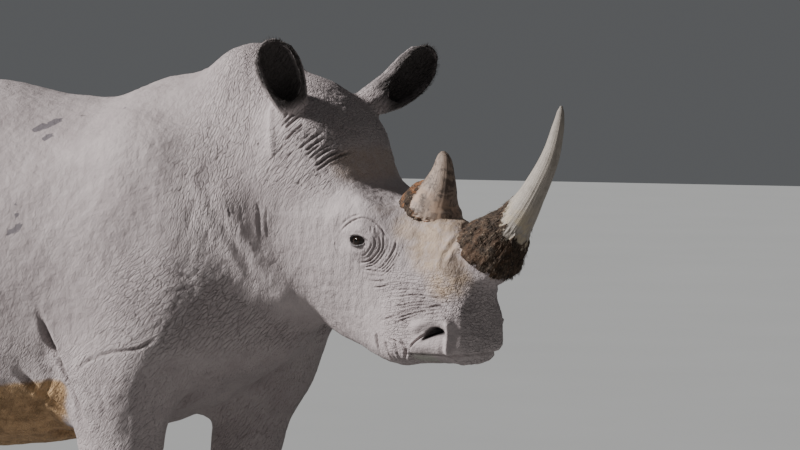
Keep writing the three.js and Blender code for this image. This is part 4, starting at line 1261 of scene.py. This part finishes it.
# A plain unwrap of the skin's shape, to give every tuft its own small patch at its root.
def unwrapOf(obj):
    twin = addObject("unwrapShape", obj.data.copy())
    fewer = twin.modifiers.new("Fewer", "DECIMATE")
    fewer.ratio = tuftWork["unwrapFaces"] / len(twin.data.polygons)
    applyAll(twin)
    edit(twin, (bpy.ops.uv.smart_project, {"angle_limit": math.radians(66), "island_margin": 0.002}))
    mesh = twin.data
    layer = mesh.uv_layers.active.data
    faces = [list(polygon.vertices) for polygon in mesh.polygons]
    corners = [[Vector((*layer[i].uv, 0)) for i in polygon.loop_indices] for polygon in mesh.polygons]
    points = [v.co.copy() for v in mesh.vertices]
    bpy.data.objects.remove(twin)
    return {"tree": BVHTree.FromPolygons(points, faces), "points": points, "faces": faces, "corners": corners}


def placeOnUnwrap(unwrap, point):
    hit, _, index, _ = unwrap["tree"].find_nearest(Vector(point))
    a, b, c = [unwrap["points"][i] for i in unwrap["faces"][index][:3]]
    spot = barycentric_transform(hit, a, b, c, *unwrap["corners"][index][:3])
    return spot.x, spot.y


# Where a line from one place meets a mesh, or nothing.
def hitOn(tree, start, way, reach):
    place = tree.ray_cast(Vector(start), Vector(way), reach)[0]
    return None if place is None else np.array(place)


def scatter(direction, spread):
    return unit(np.array(direction) + np.array([random.gauss(0, spread) for _ in range(3)]))


# One tuft: it starts out of its root one way and leans over to another.
def tuft(root, way, lean, sunk, long, thick, brightest=1):
    return root, way, lean, sunk, long, thick, random.uniform(0, 6), random.random() * brightest


# Thin pointed tufts, each rooted in the skin and bending towards a second direction.
def buildTufts(name, tufts, unwrap):
    steps, around = tuftWork["steps"], tuftWork["sides"]
    points, faces, patches, tones = [], [], [], []
    for root, way, lean, sunk, long, thick, spin, tone in tufts:
        side = unit(np.cross(way, (0.31, 0.17, 0.93)))
        first = len(points)
        spot = root - way * sunk
        patches.append(placeOnUnwrap(unwrap, root))
        tones.append(tone)
        for step in range(steps):
            t = step / steps
            heading = unit(way * (1 - t) + lean * t)
            across = np.cross(heading, side)
            radius = thick * (1 - t) ** 0.7
            for k in range(around):
                a = 2 * math.pi * k / around + spin
                points.append(spot + radius * (math.cos(a) * side + tuftWork["flat"] * math.sin(a) * across))
            spot = spot + heading * (long + sunk) / steps
        points.append(spot)
        for step in range(steps - 1):
            for k in range(around):
                low, after = first + step * around + k, first + step * around + (k + 1) % around
                faces.append((low, after, after + around, low + around))
        last = first + (steps - 1) * around
        faces += [(last + k, last + (k + 1) % around, len(points) - 1) for k in range(around)]
        faces.append(tuple(first + k for k in reversed(range(around))))
    mesh = bpy.data.meshes.new(name)
    mesh.from_pydata([tuple(p) for p in points], [], faces)
    piece = addObject(name, mesh)
    perTuft = steps * around + 1
    layer = mesh.uv_layers.new(name="OFBake")
    corners = readAll(mesh.loops, "vertex_index", 1, int)
    which, within = corners // perTuft, corners % perTuft
    angle = 2 * math.pi * (within % around) / around
    half = tuftWork["patch"] / 2 * np.where(within == perTuft - 1, 0, 1 - within // around / steps * 0.8)
    uv = np.array(patches)[which] + np.stack([np.cos(angle), np.sin(angle)], 1) * half[:, None]
    layer.data.foreach_set("uv", np.clip(uv, 0, 1).astype(np.float32).ravel())
    storeShare(piece, "tone", np.repeat(tones, perTuft))
    along = np.concatenate([np.repeat(np.arange(steps) / steps, around), [1]])
    storeShare(piece, "along", np.tile(along, len(tufts)))
    faceOutwards(piece)
    return piece


fringeWork = {"rim": 480, "tip": 70, "inside": 150, "long": (0.005, 0.011), "longInside": (0.008, 0.014),
              "thick": 0.0006}


# Finds the lip of the ear at one place by looking in from the side, further and further to the open front.
def rimPoint(tree, spot, sideways, toward):
    best = None
    for step in range(-2, 12):
        hit = hitOn(tree, spot + toward * 0.008 * step + sideways * 0.12, -sideways, 0.20)
        if hit is not None and (hit - spot) @ sideways > 0.012:
            best = hit
    return best


def earTufts(tree):
    tufts = []
    thick = fringeWork["thick"]
    for side, line in earLines.items():
        toward = np.array(earOpen[side]) @ levelAxes
        steps = np.linalg.norm(np.diff(line, axis=0), axis=1)
        marks = np.concatenate([[0], np.cumsum(steps)]) / steps.sum()

        def spotAt(t):
            return np.array([np.interp(t, marks, line[:, k]) for k in range(3)])

        def faceAcross(way):
            return unit(toward - way * (toward @ way))

        for i in range(fringeWork["rim"]):
            t = random.uniform(0.38, 0.97)
            spot = spotAt(t)
            ahead = spotAt(min(t + 0.03, 1)) - spot
            up = ahead / max(np.linalg.norm(ahead), 1e-9) if t < 0.96 else up
            face = faceAcross(up)
            sideways = np.cross(up, face) * (1 if i % 2 else -1)
            root = rimPoint(tree, spot, sideways, face)
            if root is None:
                continue
            way = scatter(0.55 * sideways + 0.25 * face + 0.65 * up, 0.22)
            tufts.append(tuft(root, way, scatter(up + 0.2 * sideways, 0.2), 0.003,
                              random.uniform(*fringeWork["long"]) * (0.7 + 0.6 * t), thick))
        tip, last = line[-1], unit(line[-1] - line[-3])
        face = faceAcross(last)
        across = np.cross(last, face)
        for _ in range(fringeWork["tip"]):
            fan = random.uniform(-1, 1)
            start = tip + across * fan * 0.032 + face * random.uniform(-0.012, 0.022) + last * 0.08
            root = hitOn(tree, start, -last, 0.16)
            if root is None:
                continue
            way = scatter(last + 0.5 * fan * across, 0.22)
            tufts.append(tuft(root, way, scatter(last, 0.25), 0.003, random.uniform(*fringeWork["long"]) * 1.4, thick))
        # Short hair lining the cup.
        for _ in range(fringeWork["inside"]):
            spot = spotAt(random.uniform(0.45, 0.92))
            root = hitOn(tree, spot + face * 0.08 + across * random.gauss(0, 0.018), -face, 0.16)
            if root is None:
                continue
            tufts.append(tuft(root, scatter(0.6 * face + 0.5 * last, 0.25), scatter(last, 0.25), 0.002,
                              random.uniform(*fringeWork["longInside"]), 0.0005))
    return tufts


lashWork = {"count": 34, "long": (0.010, 0.016), "thick": 0.00045}


def lashTufts(tree):
    tufts = []
    for side, sign in sides.items():
        outward = levelAxes[1] * sign
        for _ in range(lashWork["count"]):
            across = random.uniform(-0.75, 0.95)
            arch = math.sqrt(1 - across * across)
            forward = eyeWork["centre"][0] + across * eyeWork["halfLong"]
            up = eyeWork["centre"][1] + eyeWork["above"] * arch**0.9 + 0.0025
            start = eyePlace[side] + forward * levelAxes[0] + up * levelAxes[2] + outward * 0.08
            root = hitOn(tree, start, -outward, 0.1)
            if root is None:
                continue
            way = scatter(outward + 0.25 * levelAxes[2] + 0.45 * across * levelAxes[0], 0.12)
            lean = scatter(0.5 * outward - 0.5 * levelAxes[2] + 0.6 * levelAxes[0] * across, 0.12)
            tufts.append(tuft(root, way, lean, 0.002, random.uniform(*lashWork["long"]), lashWork["thick"], 0.5))
    return tufts


brushWork = {"count": 420, "behind": -1.872, "top": 0.985, "bottom": 0.772, "lowest": 0.715, "long": (0.050, 0.105),
             "thick": 0.0016}


def brushTufts(tree):
    tufts = []
    for _ in range(brushWork["count"]):
        z = brushWork["bottom"] + (brushWork["top"] - brushWork["bottom"]) * random.random() ** 1.6
        a = random.uniform(0, 2 * math.pi)
        out = np.array([math.cos(a), math.sin(a), 0])
        start = Vector((bodyStart + brushWork["behind"], 0, z)) + Vector(out) * 0.12
        root = hitOn(tree, start, -out, 0.2)
        if root is None:
            continue
        way = scatter(0.45 * out + np.array([0, 0, -1.0]), 0.10)
        long = min(random.uniform(*brushWork["long"]), z - brushWork["lowest"])
        tufts.append(tuft(root, way, scatter((0, 0, -1), 0.10), 0.004, long, brushWork["thick"]))
    return tufts


skirtWork = {"horn_front": 1700, "horn_rear": 700, "long": (0.006, 0.017), "thick": 0.0011}


# Loose fibres on the skirts of the horns, lying down along them.
def skirtTufts():
    tufts = []
    for node, horn in (("horn_front", hornFront), ("horn_rear", hornRear)):
        work = hornWork[node]
        points, normals = pointsOf(horn), normalsOf(horn)
        shares = readAll(horn.data.attributes["skirt"].data, "value", 1, np.float32)
        around = work["around"]
        for _ in range(skirtWork[node]):
            row = int(work["rings"] * (work["skirt"] + work["skirtBack"]) * random.random() ** 1.3) + 2
            index = row * around + random.randrange(around)
            if shares[index] < 0.5:
                continue
            down = unit(points[index - 2 * around] - points[index])
            low = 1 - row / (work["rings"] * work["skirt"])
            way = scatter(normals[index] * (0.6 + 0.5 * low) + 0.8 * down, 0.25)
            lean = scatter(down + 0.2 * normals[index], 0.25)
            tufts.append(tuft(points[index], way, lean, 0.002, random.uniform(*skirtWork["long"]), skirtWork["thick"]))
    return tufts


def tuftMaterial(name, dark, pale, palest):
    n = Nodes(name)
    tone = n.math("MULTIPLY_ADD", n.noise(60, 2.0), 0.4, n.times(n.share("tone"), 0.7))
    colour = n.layers(dark, (n.span(tone, 0.25, 0.75), pale), (n.span(tone, 0.82, 0.92), palest),
                      (n.times(n.share("along"), 0.35), pale))
    return n.surface(Colour=colour, Roughness=0.7, Specular=0.3)


skinUnwrap = unwrapOf(skin)
print("skin unwrapped")
skinFaces = [list(p.vertices) for p in skin.data.polygons]
skinTree = BVHTree.FromPolygons([v.co.copy() for v in skin.data.vertices], skinFaces)
hairSurface = tuftMaterial("hairSurface", (0.014, 0.011, 0.010), (0.055, 0.044, 0.038), (0.130, 0.110, 0.095))
fibreSurface = tuftMaterial("fibreSurface", (0.028, 0.019, 0.013), (0.095, 0.066, 0.046), (0.300, 0.240, 0.180))
coats = [
    ("earFringe", earTufts(skinTree), hairSurface, "skin"),
    ("lashes", lashTufts(skinTree), hairSurface, "skin"),
    ("tailBrush", brushTufts(skinTree), hairSurface, "skin"),
    ("hornFibres", skirtTufts(), fibreSurface, "horn"),
]
for name, tufts, surface, slot in coats:
    piece = buildTufts(name, tufts, skinUnwrap)
    piece.data.materials.append(surface)
    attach(piece, "root")
    print(name, len(tufts), "tufts")

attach(skin, "root")
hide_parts(*skinWork["flesh"])

studio = {"sunFrom": (-53, 30), "sun": 7.4, "sunWidth": 8, "fill": 0.11, "sky": (0.93, 0.96, 1, 1),
          "floor": ((0.30, 0.30, 0.295), (0.33, 0.33, 0.325))}


def addStudio():
    bpy.ops.mesh.primitive_plane_add(size=60, location=(0, 0, 0))
    floor = bpy.context.object
    floor.name = "floor"
    n = Nodes("floorSurface")
    floor.data.materials.append(n.surface(Colour=n.mix(n.noise(0.8), *studio["floor"]), Roughness=0.9))
    toLight = directionFrom(*studio["sunFrom"])
    bpy.ops.object.light_add(type="SUN", location=toLight * 20)
    sun = bpy.context.object
    sun.rotation_euler = toLight.to_track_quat("Z", "Y").to_euler()
    sun.data.energy = studio["sun"]
    sun.data.angle = math.radians(studio["sunWidth"])
    world = bpy.data.worlds.new("studio")
    bpy.context.scene.world = world
    world.use_nodes = True
    background = world.node_tree.nodes["Background"]
    background.inputs["Color"].default_value = studio["sky"]
    background.inputs["Strength"].default_value = studio["fill"]


addStudio()
